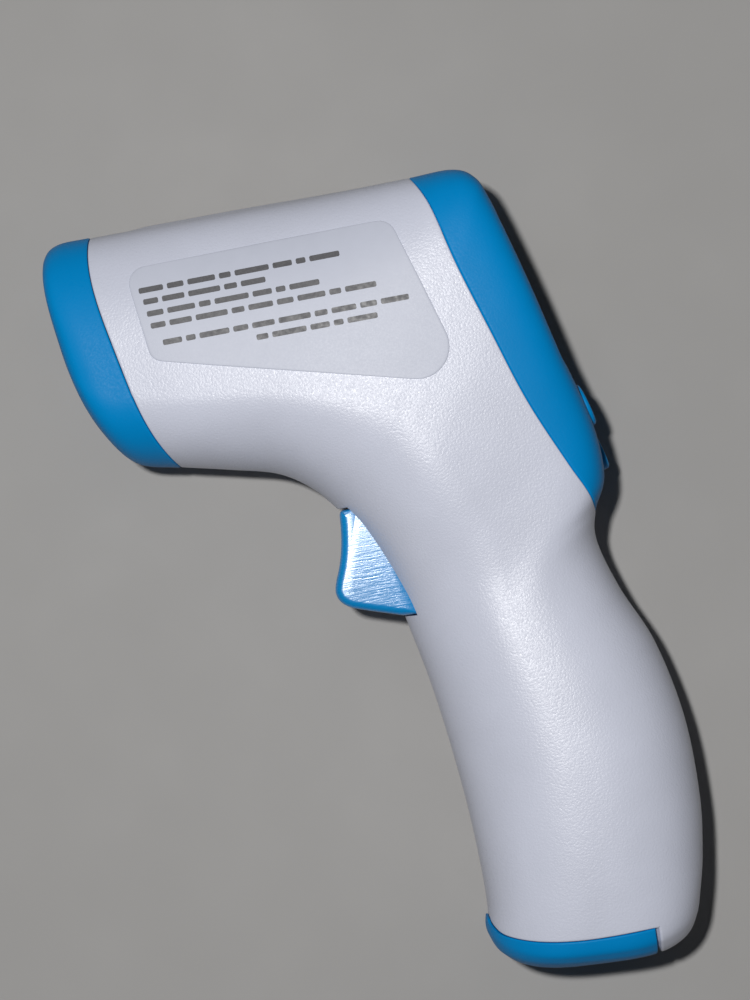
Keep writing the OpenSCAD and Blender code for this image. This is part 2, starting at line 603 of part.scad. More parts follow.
module placed() translate([-bbox_middle[0], -bbox_middle[1], rest_depth]) children();
placed() left_shell();
placed() right_shell();
placed() nose_cap();
placed() rear_bezel();
placed() display_window();
placed() lcd_panel();
placed() lcd_tray();
placed() contact_strips();
placed() main_board();
placed() controller_chip();
placed() board_parts();
placed() buzzer();
placed() board_screws();
placed() mode_key();
placed() up_key();
placed() down_key();
placed() mode_plunger();
placed() up_plunger();
placed() down_plunger();
placed() key_switches();
placed() trigger();
placed() trigger_spring();
placed() trigger_switch();
placed() trigger_plunger();
placed() trigger_board();
placed() sensor_cone();
placed() sensor_window();
placed() sensor_can();
placed() sensor_collar();
placed() sensor_board();
placed() sensor_lead();
placed() battery_holder();
placed() front_cell();
placed() rear_cell();
placed() upper_contacts();
placed() battery_door();
placed() door_pins();
placed() door_contact();
placed() upper_spring();
placed() door_spring();
placed() red_lead();
placed() black_lead();
placed() trigger_lead();
placed() case_screws();
placed() rating_label();
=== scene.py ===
# Looks of the handheld infrared thermometer. Lengths here are millimetres about the parting plane of the
# casing (x towards the handle's back, y up the handle, z towards the left side), as in the CAD part.
# to_row() turns them into metres in the row frame when a mesh is made.
import math

import bmesh
import bpy
import numpy as np
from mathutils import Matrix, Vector
from mathutils.bvhtree import BVHTree
from mathutils.kdtree import KDTree


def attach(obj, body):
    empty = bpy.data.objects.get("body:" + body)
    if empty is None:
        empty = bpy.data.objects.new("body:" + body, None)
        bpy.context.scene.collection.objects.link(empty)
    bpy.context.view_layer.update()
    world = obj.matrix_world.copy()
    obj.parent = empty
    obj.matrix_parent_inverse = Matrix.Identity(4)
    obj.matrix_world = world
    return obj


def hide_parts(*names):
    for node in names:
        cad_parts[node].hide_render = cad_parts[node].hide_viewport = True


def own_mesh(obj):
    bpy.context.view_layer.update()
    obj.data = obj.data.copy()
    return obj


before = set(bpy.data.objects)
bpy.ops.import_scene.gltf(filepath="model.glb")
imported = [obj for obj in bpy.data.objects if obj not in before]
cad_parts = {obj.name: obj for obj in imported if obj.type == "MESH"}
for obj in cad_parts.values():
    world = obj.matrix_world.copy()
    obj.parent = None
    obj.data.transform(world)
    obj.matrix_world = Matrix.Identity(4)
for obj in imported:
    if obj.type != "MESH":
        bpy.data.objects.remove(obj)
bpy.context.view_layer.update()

MM = 0.001
MIDDLE = np.array([0.43, 0.1, -20.3])
CASING = "casing"
# Points closer than this many metres are merged in a finished piece, and welding rounds to this grid
SAME_PLACE = 2e-6
POINTS_PER_MM = 20000
# Edges bent more than this many degrees are shaded as sharp
SHARP_ANGLE = 35
TRIGGER_SHARP_ANGLE = 50

# ---- The casing's outer form, as in the CAD part ----
# [front x, front y, back x, back y, half thickness, bow, front exponent, back exponent, lean]
STATIONS = np.array([
    [-50.8, 57.6, -50.8, 57.6, 0, 0, 2.1, 3, 0],
    [-49.9, 51.4, -51.4, 64.6, 6.6, 0.2, 2.1, 3, 0.1],
    [-48.2, 45, -51.5, 70.2, 11.4, 0.8, 2.1, 3, 0.2],
    [-45.2, 37.8, -50.7, 74, 14.2, 1.7, 2.1, 3, 0.28],
    [-40.8, 32.5, -48, 75.8, 15.5, 2.5, 2.1, 3, 0.33],
    [-33.2, 30.4, -42, 76, 16, 2.8, 2, 3, 0.36],
    [-24, 28.2, -30, 76, 17.3, 2.2, 1.95, 3, 0.38],
    [-15.2, 25.8, -14, 76, 18.6, 1.2, 1.95, 3, 0.38],
    [-9.2, 21.8, 3, 75.9, 19.7, 0.5, 1.95, 3.4, 0.37],
    [-5, 16.8, 18.6, 75.9, 20.3, 0, 1.95, 4.5, 0.35],
    [-2.2, 12.5, 26.9, 75.8, 20.5, 0, 1.95, 6, 0.33],
    [-0.9, 9.6, 30.8, 73.7, 20.5, 0, 1.95, 8, 0.3],
    [0.2, 7, 33, 69, 20.5, 0, 1.95, 9, 0.27],
    [1.2, 4.2, 36.9, 54.7, 20.3, 0, 1.95, 10, 0.2],
    [2.3, 0.6, 40.8, 38.8, 19.5, 0, 1.95, 9, 0.14],
    [3.3, -3.4, 44.5, 25, 18.4, 0, 1.95, 7, 0.1],
    [4.3, -8.5, 45.2, 14.6, 17.7, 0, 1.95, 5, 0.08],
    [5.2, -13, 42.6, 8.3, 17.6, 0, 1.95, 3.6, 0.06],
    [6.1, -18, 41.9, 2.5, 17.9, 0, 1.95, 2.8, 0.05],
    [7.1, -25, 44.6, -7, 18.5, 0, 2, 2.6, 0.03],
    [8.1, -34, 49.3, -18.2, 19.1, 0, 2.05, 2.5, 0.02],
    [8.9, -44, 52.2, -33, 19.5, 0, 2.15, 2.5, 0],
    [9.25, -54, 52.4, -48, 19.3, -1, 2.3, 2.5, 0],
    [9.2, -60.5, 51, -58.5, 18.6, -3.6, 2.45, 2.6, 0],
    [8.9, -64, 49.3, -65.3, 17.4, -6.2, 2.6, 2.8, 0],
    [8.6, -67.2, 48, -69.6, 15.4, -4.9, 2.7, 2.8, 0],
    [10, -70.6, 45.7, -73.2, 12.4, -2.7, 2.7, 2.7, 0],
    [14.8, -73.8, 41.2, -75, 8.2, -1, 2.5, 2.5, 0],
    [27.5, -75.8, 27.5, -75.8, 0, 0, 2.5, 2.5, 0],
])
LAST = len(STATIONS) - 1
# Stations of the nose cap's joint and of the middle of the handle
NOSE_T = 5.0
HANDLE_T = 22.0
BOW_EXPONENT = 3.5
WALL = 2.0
FLAT_Z = -20.3
BEZEL_LINE = [[17.6, 80], [18.9, 76.2], [21.6, 69.6], [24.6, 57.5], [28.6, 44.2], [32.9, 30.6],
              [38.2, 18.2], [41, 12.4], [42.3, 8.4], [43.5, 4]]
DOOR_LINE = [[6, -61.6], [8.7, -63.3], [9.4, -65.1], [11.6, -66.9], [18.2, -68.5], [27.4, -69.4],
             [38.8, -69.5]]
DOOR_END = DOOR_LINE[-1]
DOOR_SLOT = 0.6
HALF_GAP = 0.06
# Beyond the casing's sides: where posts end before they are trimmed, and where rays start
BEYOND = 30
RAY_START = 60
# Stations between which the bezel's joint starts and ends at the back, and the door's joint lies
BEZEL_STARTS = (8.0, 11.0)
BEZEL_ENDS = (15.0, 19.0)
DOOR_JOINT = (21.5, 26.5)
DOOR_REAR = (25.0, LAST - 0.2)
# Distances from a seam at which a moulded edge gets its own row of points, and the edge's radius
EDGE_STEPS = np.array([0, 0.03, 0.09, 0.18, 0.3, 0.5])
SEAM_R = 0.3
PARTING_R = 0.12


def along(table, t):
    """Smooth curve through the rows of a table, one unit of t from row to row."""
    table = np.asarray(table, float)
    n = len(table) - 1
    i = np.clip(np.floor(t).astype(int), 0, n - 1)
    f = (t - i)[..., None]
    p0, p1, p2, p3 = table[np.maximum(i - 1, 0)], table[i], table[i + 1], table[np.minimum(i + 2, n)]
    return p1 + 0.5 * f * (p2 - p0 + f * (2 * p0 - 5 * p1 + 4 * p2 - p3 + f * (3 * p1 - p0 - 3 * p2 + p3)))


def curve(points, steps):
    n = (len(points) - 1) * steps
    return along(points, np.arange(n + 1) / steps)


def left_of(d):
    length = np.maximum(np.linalg.norm(d, axis=-1, keepdims=True), 1e-9)
    return np.stack([-d[..., 1], d[..., 0]], -1) / length


def surface(t, a, inwards=0.0):
    """Point of the casing's form at station t and angle a (0 front, 90 left, 180 back), moved inwards."""
    t, a = np.broadcast_arrays(np.asarray(t, float), np.asarray(a, float))
    s = along(STATIONS, t)
    front, back, half_z = s[..., 0:2], s[..., 2:4], s[..., 4]
    if inwards:
        s0, s1 = along(STATIONS, np.maximum(t - 0.05, 0)), along(STATIONS, np.minimum(t + 0.05, LAST))
        front = front + inwards * left_of(s1[..., 0:2] - s0[..., 0:2])
        back = back - inwards * left_of(s1[..., 2:4] - s0[..., 2:4])
        half_z = np.maximum(half_z - inwards, 0.3)
    c, sine = -np.cos(np.radians(a)), np.sin(np.radians(a))
    n = np.where(c < 0, s[..., 6], s[..., 7])
    v = np.sign(c) * np.abs(c) ** (2 / n)
    v = v - s[..., 8] * (1 - np.abs(v))
    z = half_z * np.sign(sine) * np.abs(sine) ** (2 / n)
    half = (back - front) / 2
    bow = (s[..., 5] * (1 - np.abs(v) ** BOW_EXPONENT))[..., None]
    xy = front + half * (1 + v)[..., None] + left_of(half) * bow
    return np.concatenate([xy, z[..., None]], -1)


def crossing(x, y, which):
    """Place in x where y changes sign for the first (0) or the last (-1) time, or None."""
    k = np.nonzero(y[:-1] * y[1:] <= 0)[0]
    if len(k) == 0:
        return None
    k = k[which]
    return x[k] + (x[k + 1] - x[k]) * y[k] / (y[k] - y[k + 1] + 1e-12)


def root(function, lo, hi, samples=400):
    """First place between lo and hi where function, given an array, changes sign."""
    x = np.linspace(lo, hi, samples)
    return crossing(x, function(x), 0)


# Angles for measuring along a section, closer together where its sides are flat
_flat = np.linspace(0, 1, 120) ** 5
_sines, _cosines = np.degrees(np.arcsin(_flat)), np.degrees(np.arccos(_flat))
ANGLES = np.unique(np.concatenate([_sines, 180 - _sines, _cosines, 180 - _cosines, np.linspace(0, 180, 181)]))


def arc(t, a0, a1):
    """Angles between a0 and a1 at station t, and their distances along the surface from a0."""
    a = np.unique(np.concatenate([[a0, a1], ANGLES[(ANGLES > a0) & (ANGLES < a1)]]))
    p = surface(t, a)
    return a, np.concatenate([[0], np.cumsum(np.linalg.norm(np.diff(p, axis=0), axis=1))])


def angle_where(t, test, a0=0.0, a1=180.0):
    """Angle at station t where test(x, y) changes sign, or None."""
    a = ANGLES[(ANGLES >= a0) & (ANGLES <= a1)]
    p = surface(t, a)
    return crossing(a, test(p[:, 0], p[:, 1]), -1)


bezel_curve = curve(BEZEL_LINE, 8)[::-1]
door_curve = curve(DOOR_LINE, 8)


def past_bezel(x, y):
    return x - np.interp(y, bezel_curve[:, 1], bezel_curve[:, 0])


def below_door(x, y):
    return np.interp(x, door_curve[:, 0], door_curve[:, 1]) - y


def back_rail(test):
    def at(t):
        p = along(STATIONS, t)
        return test(p[..., 2], p[..., 3])
    return at


bezel_t0 = root(back_rail(past_bezel), *BEZEL_STARTS)
bezel_t1 = root(back_rail(past_bezel), *BEZEL_ENDS)


def speed(t, a):
    """Distance along the surface for one unit of t."""
    return np.linalg.norm(surface(t + 0.01, a) - surface(t - 0.01, a), axis=-1) / 0.02


def seam_angle(t, side):
    """Angle of the bezel's joint line at t, moved half the gap towards the front (-1) or back (1)."""
    a_seam = angle_where(t, past_bezel, 60, 180)
    if a_seam is None:
        return 180.0
    a, d = arc(t, 60, 180)
    at = np.interp(a_seam, a, d) + side * HALF_GAP
    return float(np.interp(at, d, a))


def door_t(a, side):
    """Station of the door's joint at angle a, moved half the gap towards the door (1) or away (-1)."""
    t = root(lambda u: below_door(surface(u, a)[:, 0], surface(u, a)[:, 1]), *DOOR_JOINT, 800)
    return t + side * HALF_GAP / speed(t, a)


def corner_of_door(x):
    """Station and angle where the joint line reaches this x."""
    a = np.linspace(90, 179.9, 900)
    t = np.array([door_t(v, 0) for v in a[::10]])
    t = np.interp(a, a[::10], t)
    p = surface(t, a)
    k = int(np.nonzero(p[:, 0] > x)[0][0])
    return t[k], a[k]


def spread_rows(t0, t1, step):
    """Stations from t0 to t1, no further apart than step along the front or the back."""
    t = np.linspace(t0, t1, 1500)
    change = np.diff(along(STATIONS, t), axis=0)
    d = np.maximum(np.linalg.norm(change[:, 0:2], axis=1), np.linalg.norm(change[:, 2:4], axis=1))
    d = np.concatenate([[0], np.cumsum(d + 0.3 * np.abs(change[:, 4]))])
    n = max(int(d[-1] / step), 2)
    return np.interp(np.linspace(0, d[-1], n + 1), d, t)


# ---- Meshes ----
def link(name, data):
    o = bpy.data.objects.new(name, data)
    bpy.context.scene.collection.objects.link(o)
    return o


def to_row(points):
    return (np.asarray(points, float).reshape(-1, 3) - MIDDLE) * MM


def weld(points, faces):
    """Joins points in the same place, and drops faces that vanish or lie back to back."""
    keys = np.round(points * POINTS_PER_MM).astype(np.int64)
    _, first, index = np.unique(keys, axis=0, return_index=True, return_inverse=True)
    index = index.ravel()
    seen = {}
    for f in faces:
        g = list(dict.fromkeys(int(index[i]) for i in f))
        if len(g) > 2:
            key = tuple(sorted(g))
            seen[key] = None if key in seen else g
    return points[first], [g for g in seen.values() if g]


def mesh_object(name, points, faces):
    points, faces = weld(np.asarray(points, float).reshape(-1, 3), faces)
    mesh = bpy.data.meshes.new(name)
    mesh.from_pydata(to_row(points).tolist(), [], faces)
    mesh.validate()
    bm = bmesh.new()
    bm.from_mesh(mesh)
    bmesh.ops.recalc_face_normals(bm, faces=bm.faces)
    bm.to_mesh(mesh)
    bm.free()
    return link(name, mesh)


def grid_faces(grid):
    rows, cols = grid.shape[:2]
    return [(k * cols + j, k * cols + j + 1, (k + 1) * cols + j + 1, (k + 1) * cols + j)
            for k in range(rows - 1) for j in range(cols - 1)]


def shell_object(name, outer, inner, keep=None):
    """Closed wall between two grids of points of the same shape. keep marks the grid's squares that exist."""
    rows, cols = outer.shape[:2]
    keep = np.ones((rows - 1, cols - 1), bool) if keep is None else keep
    n = rows * cols
    faces, edges = [], {}
    for k, j in np.argwhere(keep):
        a = int(k * cols + j)
        q = (a, a + 1, a + 1 + cols, a + cols)
        faces.append(q)
        faces.append(tuple(n + i for i in reversed(q)))
        for e in zip(q, q[1:] + q[:1]):
            key = (min(e), max(e))
            edges[key] = None if key in edges else e
    for e in edges.values():
        if e:
            faces.append((e[1], e[0], n + e[0], n + e[1]))
    return mesh_object(name, np.concatenate([outer.reshape(-1, 3), inner.reshape(-1, 3)]), faces)


def apply_boolean(target, cutter, operation):
    m = target.modifiers.new("cut", "BOOLEAN")
    m.operation, m.solver, m.object = operation, "MANIFOLD", cutter
    dg = bpy.context.evaluated_depsgraph_get()
    new = bpy.data.meshes.new_from_object(target.evaluated_get(dg))
    target.modifiers.clear()
    target.data = new
    bpy.data.objects.remove(cutter)
    return target


def cut(target, *cutters):
    for c in cutters:
        apply_boolean(target, c, "DIFFERENCE")
    return target


def add(target, *others):
    for o in others:
        apply_boolean(target, o, "UNION")
    return target


def clean(o):
    """Merges points closer than a micrometre, and drops the faces without area that this leaves."""
    bm = bmesh.new()
    bm.from_mesh(o.data)
    bmesh.ops.remove_doubles(bm, verts=bm.verts, dist=SAME_PLACE)
    bmesh.ops.dissolve_degenerate(bm, edges=bm.edges, dist=SAME_PLACE)
    bm.to_mesh(o.data)
    bm.free()


def finish_piece(o, material, body, slot, *replaced):
    clean(o)
    sharp = TRIGGER_SHARP_ANGLE if body == "trigger" else SHARP_ANGLE
    o.data.materials.clear()
    o.data.materials.append(material)
    o.data.polygons.foreach_set("use_smooth", np.ones(len(o.data.polygons), bool))
    o.data.set_sharp_from_angle(angle=math.radians(sharp))
    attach(o, body)
    if replaced:
        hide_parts(*replaced)
    return o


def frame_at(x, y, turn):
    """Place of a local frame that is turned in the plane of the casing, as a function of local points."""
    c, s = math.cos(math.radians(turn)), math.sin(math.radians(turn))
    m = np.array([[c, s, 0], [-s, c, 0], [0, 0, 1]])
    return lambda p: np.asarray(p, float).reshape(-1, 3) @ m + [x, y, 0]


def shifted(place, y, z):
    return lambda p: place(np.asarray(p, float).reshape(-1, 3) + [0, y, z])


def upright(x, y):
    """Local frame with its X axis along z at (x, y)."""
    return lambda p: np.asarray(p, float).reshape(-1, 3)[:, [1, 2, 0]] + [x, y, 0]


on_display = frame_at(38.7, 46.7, 15.1)
on_sensor = frame_at(-51.1, 57.2, 186.5)
in_place = frame_at(0, 0, 0)


def ring_form(name, points, n, ends=True):
    """Closed form from rings of n points each, one after another."""
    rings = len(points) // n
    faces = [(k * n + j, k * n + (j + 1) % n, (k + 1) * n + (j + 1) % n, (k + 1) * n + j)
             for k in range(rings - 1) for j in range(n)]
    if ends:
        faces += [tuple(reversed(range(n))), tuple((rings - 1) * n + j for j in range(n))]
    return mesh_object(name, points, faces)


def revolve(name, profile, place, sides=64):
    """Closed form from a profile of (x, radius) points, turned about the local X axis."""
    profile = np.asarray(profile, float)
    a = np.linspace(0, 2 * math.pi, sides, endpoint=False)
    ring = np.stack([np.zeros(sides), np.cos(a), np.sin(a)], -1)
    points = (profile[:, :1] * [1, 0, 0])[:, None, :] + profile[:, 1][:, None, None] * ring[None]
    return ring_form(name, place(points.reshape(-1, 3)), sides, not np.allclose(profile[0], profile[-1]))


def rod(name, x0, x1, r, place, sides):
    """Plain cylinder from x0 to x1, for a post or a bore."""
    return revolve(name, [(x0, 0), (x0, r), (x1, r), (x1, 0)], place, sides)


def extrude(name, outline, levels, place=in_place):
    """Closed form from an outline of (x, y) points at levels [(z, how far the outline moves in), ...]."""
    outline = np.asarray(outline, float)
    n = len(outline)
    before, after = np.roll(outline, 1, axis=0), np.roll(outline, -1, axis=0)
    normal = left_of(outline - before) + left_of(after - outline)
    normal /= np.maximum(np.linalg.norm(normal, axis=1, keepdims=True), 1e-9)
    area = np.sum(outline[:, 0] * after[:, 1] - after[:, 0] * outline[:, 1])
    normal *= np.sign(area)
    points = []
    for z, move in levels:
        move = np.broadcast_to(np.asarray(move, float), (n,))
        points.append(np.column_stack([outline + normal * move[:, None], np.full(n, z)]))
    return ring_form(name, place(np.concatenate(points)), n)


def rounded_levels(z0, z1, r, steps=4):
    """Levels for extrude() with a rounded edge of radius r at both ends."""
    a = np.linspace(0, math.pi / 2, steps + 1)
    low = [(z0 + r * (1 - math.sin(v)), r * (1 - math.cos(v))) for v in a[::-1]]
    high = [(z1 - r * (1 - math.sin(v)), r * (1 - math.cos(v))) for v in a]
    return low + high


def block(name, x, y, z, place=in_place):
    outline = [[x[0], y[0]], [x[1], y[0]], [x[1], y[1]], [x[0], y[1]]]
    return extrude(name, outline, [(z[0], 0), (z[1], 0)], place)


def rounded_outline(w, h, r, steps=8):
    points = []
    for cx, cy, start in ((1, 1, 0), (-1, 1, 90), (-1, -1, 180), (1, -1, 270)):
        for k in range(steps + 1):
            v = math.radians(start + 90 * k / steps)
            points.append([cx * (w / 2 - r) + r * math.cos(v), cy * (h / 2 - r) + r * math.sin(v)])
    return np.array(points)


def tube(name, path, r, sides=16):
    """Round tube along a path, without twist."""
    path = np.asarray(path, float)
    d = np.gradient(path, axis=0)
    d /= np.linalg.norm(d, axis=1, keepdims=True)
    u = np.cross(d[0], [0.0, 0.0, 1.0])
    if np.linalg.norm(u) < 0.3:
        u = np.cross(d[0], [1.0, 0.0, 0.0])
    a = np.linspace(0, 2 * math.pi, sides, endpoint=False)
    rings = []
    for p, t in zip(path, d):
        u = u - t * np.dot(u, t)
        u = u / np.linalg.norm(u)
        w = np.cross(t, u)
        rings.append(p + r * (np.cos(a)[:, None] * u + np.sin(a)[:, None] * w))
    return ring_form(name, np.concatenate(rings), sides)


def join(name, *objects):
    """One object of several."""
    points, faces, start = [], [], 0
    for o in objects:
        co = np.zeros(len(o.data.vertices) * 3)
        o.data.vertices.foreach_get("co", co)
        points.append(co.reshape(-1, 3))
        faces += [tuple(start + i for i in p.vertices) for p in o.data.polygons]
        start += len(o.data.vertices)
        bpy.data.objects.remove(o)
    mesh = bpy.data.meshes.new(name)
    mesh.from_pydata(np.concatenate(points).tolist(), [], faces)
    return link(name, mesh)


# ---- Materials ----
class Look:
    """A material being made: its nodes, its links and its Principled shader."""

    def __init__(self, name, colour, roughness, metallic=0.0, **sockets):
        self.m = bpy.data.materials.new(name)
        self.m.use_nodes = True
        self.tree = self.m.node_tree
        self.shader = self.tree.nodes["Principled BSDF"]
        self.shader.inputs["Base Color"].default_value = (*colour, 1)
        self.shader.inputs["Roughness"].default_value = roughness
        self.shader.inputs["Metallic"].default_value = metallic
        for key, value in sockets.items():
            self.shader.inputs[key.replace("_", " ")].default_value = value
        self.place = self.node("ShaderNodeTexCoord").outputs["Object"]

    def node(self, kind, **settings):
        n = self.tree.nodes.new(kind)
        for key, value in settings.items():
            setattr(n, key, value)
        return n

    def join(self, a, b):
        self.tree.links.new(a, b)

    def texture(self, kind, per_mm, stretch=(1, 1, 1), **settings):
        """Texture node with this many cells per millimetre."""
        m = self.node("ShaderNodeMapping")
        m.inputs["Scale"].default_value = [s * per_mm / MM for s in stretch]
        self.join(self.place, m.inputs["Vector"])
        n = self.node(kind, **settings)
        n.inputs["Scale"].default_value = 1.0
        self.join(m.outputs[0], n.inputs["Vector"])
        return n

    def noise(self, per_mm, detail=2.0, rough=0.5, stretch=(1, 1, 1)):
        n = self.texture("ShaderNodeTexNoise", per_mm, stretch)
        n.inputs["Detail"].default_value = detail
        n.inputs["Roughness"].default_value = rough
        return n.outputs["Fac"]

    def ramp(self, value, *stops):
        """Colour or grey ramp over value: stops are (place, grey or colour)."""
        r = self.node("ShaderNodeValToRGB")
        while len(r.color_ramp.elements) < len(stops):
            r.color_ramp.elements.new(0.5)
        for e, (at, c) in zip(r.color_ramp.elements, stops):
            e.position = at
            e.color = (*c, 1) if hasattr(c, "__len__") else (c, c, c, 1)
        self.join(value, r.inputs[0])
        return r.outputs[0]

    def vary(self, value, dark, light, lo=0.35, hi=0.65):
        """Base colour between two shades as value goes from lo to hi."""
        self.join(self.ramp(value, (lo, dark), (hi, light)), self.shader.inputs["Base Color"])

    def gloss(self, value, smooth, rough, lo=0.3, hi=0.7):
        self.join(self.ramp(value, (lo, smooth), (hi, rough)), self.shader.inputs["Roughness"])

    def bump(self, value, depth_mm, strength=1.0):
        """Adds relief of this depth over what is there already."""
        b = self.node("ShaderNodeBump")
        b.inputs["Strength"].default_value = strength
        b.inputs["Distance"].default_value = depth_mm * MM
        self.join(value, b.inputs["Height"])
        before = self.shader.inputs["Normal"].links
        if before:
            self.join(before[0].from_socket, b.inputs["Normal"])
        self.join(b.outputs[0], self.shader.inputs["Normal"])

    def varied(self, shades, gloss, bump):
        """The material, with shades and gloss as (noise, low, high) and bump as (noise, depth in mm)."""
        if shades:
            self.vary(self.noise(*shades[0]), *shades[1:])
        self.gloss(self.noise(*gloss[0]), *gloss[1:])
        self.bump(self.noise(*bump[0]), bump[1])
        return self.m


def shade(colour, factor):
    return tuple(min(c * factor, 1.0) for c in colour)


def textured_plastic(name, colour, roughness, grain_mm, depth_mm, specular=0.5):
    """Moulded plastic from a spark-eroded mould: a fine, even grain that glitters."""
    look = Look(name, colour, roughness, Specular_IOR_Level=specular)
    grain = look.noise(1 / grain_mm, 3.0, 0.6)
    look.vary(look.noise(0.05, 4.0, 0.6), shade(colour, 0.96), shade(colour, 1.03), 0.3, 0.7)
    look.gloss(grain, roughness - 0.08, roughness + 0.1)
    look.bump(grain, depth_mm)
    look.bump(look.noise(0.02, 3.0), 0.05, 0.15)
    return look.m


def smooth_plastic(name, colour, roughness, depth_mm=0.004):
    return Look(name, colour, roughness).varied(
        ((0.08, 3.0), shade(colour, 0.95), shade(colour, 1.04)),
        ((0.6, 4.0, 0.6), roughness - 0.05, roughness + 0.08), ((3.0, 3.0), depth_mm))


def metal(name, colour, roughness, stretch=(1, 1, 1), depth_mm=0.004):
    look = Look(name, colour, roughness, 1.0)
    scratches = look.noise(4.0, 4.0, 0.6, stretch)
    look.vary(look.noise(0.3, 3.0), shade(colour, 0.82), shade(colour, 1.05))
    look.gloss(scratches, roughness - 0.08, roughness + 0.14)
    look.bump(scratches, depth_mm)
    return look.m


WHITE = (0.65, 0.68, 0.80)
BLUE = (0.0, 0.25, 0.62)
white_shell = textured_plastic("white_shell", WHITE, 0.34, 0.42, 0.07)
blue_shell = textured_plastic("blue_shell", BLUE, 0.44, 0.42, 0.03, 0.1)
key_plastic = textured_plastic("key_plastic", BLUE, 0.42, 0.3, 0.008, 0.12)
black_plastic = smooth_plastic("black_plastic", (0.018, 0.018, 0.02), 0.45, 0.01)
switch_plastic = smooth_plastic("switch_plastic", (0.05, 0.05, 0.055), 0.4)
tray_plastic = smooth_plastic("tray_plastic", (0.72, 0.72, 0.7), 0.5)
holder_plastic = smooth_plastic("holder_plastic", (0.62, 0.64, 0.68), 0.5)
steel = metal("steel", (0.55, 0.55, 0.56), 0.3)
nickel = metal("nickel", (0.62, 0.58, 0.5), 0.26, (1, 0.15, 1))
aluminium = metal("aluminium", (0.72, 0.73, 0.75), 0.34, (0.15, 1, 1))
red_wire = smooth_plastic("red_wire", (0.5, 0.012, 0.012), 0.4)
black_wire = smooth_plastic("black_wire", (0.012, 0.012, 0.013), 0.4)
yellow_wire = smooth_plastic("yellow_wire", (0.62, 0.5, 0.03), 0.4)
sleeve = smooth_plastic("sleeve", (0.03, 0.03, 0.034), 0.62, 0.02)


def trigger_look():
    """Blue plastic with the fine drawn marks of its mould, which run across the trigger."""
    look = Look("blue_trigger", BLUE, 0.26, Specular_IOR_Level=0.8, Coat_Weight=0.35,
                Coat_Roughness=0.28)
    marks = look.noise(3.5, 3.0, 0.6, (0.08, 1, 1))
    look.vary(look.noise(0.1, 3.0), shade(BLUE, 0.95), shade(BLUE, 1.04))
    look.gloss(marks, 0.18, 0.34)
    look.bump(marks, 0.035)
    look.bump(look.noise(3.2, 2.0), 0.012)
    return look.m


def board_look():
    """Green solder mask over copper tracks."""
    look = Look("board", (0.01, 0.09, 0.03), 0.35, Coat_Weight=0.3, Coat_Roughness=0.15)
    cells = look.texture("ShaderNodeTexVoronoi", 0.45, feature="DISTANCE_TO_EDGE")
    track = look.ramp(cells.outputs["Distance"], (0.05, 1.0), (0.09, 0.0))
    mix = look.node("ShaderNodeMix", data_type="RGBA")
    look.join(track, mix.inputs["Factor"])
    mask = look.ramp(look.noise(0.6), (0.3, (0.008, 0.075, 0.025)), (0.7, (0.012, 0.1, 0.035)))
    look.join(mask, mix.inputs["A"])
    mix.inputs["B"].default_value = (0.02, 0.17, 0.05, 1)
    look.join(mix.outputs["Result"], look.shader.inputs["Base Color"])
    look.gloss(look.noise(1.0), 0.28, 0.42)
    look.bump(track, 0.03)
    return look.m


def strip_look():
    """Conductive rubber strip: fine dark layers in pink silicone."""
    look = Look("zebra_strip", (0.55, 0.2, 0.24), 0.6)
    w = look.node("ShaderNodeTexWave", wave_type="BANDS", bands_direction="Z")
    w.inputs["Scale"].default_value = 0.8 / MM
    w.inputs["Distortion"].default_value = 0.0
    look.join(look.place, w.inputs["Vector"])
    look.vary(w.outputs["Fac"], (0.05, 0.02, 0.025), (0.6, 0.25, 0.28), 0.3, 0.6)
    look.gloss(look.noise(1.0), 0.5, 0.7)
    look.bump(w.outputs["Fac"], 0.02)
    return look.m


def parts_look():
    """Small soldered parts: ceramic bodies in tan, brown and black, one shade to each."""
    look = Look("small_parts", (0.4, 0.3, 0.2), 0.45)
    cells = look.texture("ShaderNodeTexVoronoi", 0.16)
    look.vary(cells.outputs["Color"], (0.06, 0.05, 0.045), (0.5, 0.37, 0.22), 0.35, 0.65)
    look.gloss(look.noise(1.0), 0.35, 0.55)
    look.bump(look.noise(4.0), 0.02)
    return look.m


def sleeve_look(name, colour, metallic, dark, light):
    """Printed foil sleeve of a cell, without lettering."""
    look = Look(name, colour, 0.25, metallic, Coat_Weight=0.6, Coat_Roughness=0.12)
    return look.varied(((0.4,), dark, light), ((0.8, 4.0), 0.2, 0.34), ((1.5,), 0.006))


blue_trigger, board, zebra, ceramic = trigger_look(), board_look(), strip_look(), parts_look()
# Matt label film that shows some of the grain under it, and its print
FILM = (0.57, 0.60, 0.705)
film = Look("label_film", FILM, 0.46, Specular_IOR_Level=0.4).varied(
    ((0.3, 3.0), shade(FILM, 0.99), shade(FILM, 1.01)), ((2.4, 3.0), 0.44, 0.5), ((3.2, 3.0, 0.6), 0.012))
ink = Look("label_print", (0.1, 0.1, 0.11), 0.5).varied(
    ((2.5, 3.0), (0.09, 0.09, 0.1), (0.12, 0.12, 0.13)), ((1.0,), 0.4, 0.6), ((5.0,), 0.003))
lcd = Look("lcd", (0.30, 0.34, 0.28), 0.16, Coat_Weight=0.5, Coat_Roughness=0.05).varied(
    ((0.06,), (0.28, 0.32, 0.26), (0.32, 0.36, 0.30)), ((0.5,), 0.12, 0.2), ((0.8,), 0.002))
segment = Look("lcd_segment", (0.12, 0.14, 0.11), 0.2).varied(
    ((0.5,), (0.11, 0.13, 0.1), (0.14, 0.16, 0.13)), ((1.0,), 0.15, 0.25), ((2.0,), 0.002))
glass = Look("window_glass", (0.55, 0.58, 0.6), 0.06, Transmission_Weight=0.92, IOR=1.49).varied(
    None, ((0.3,), 0.03, 0.1), ((0.15,), 0.004))
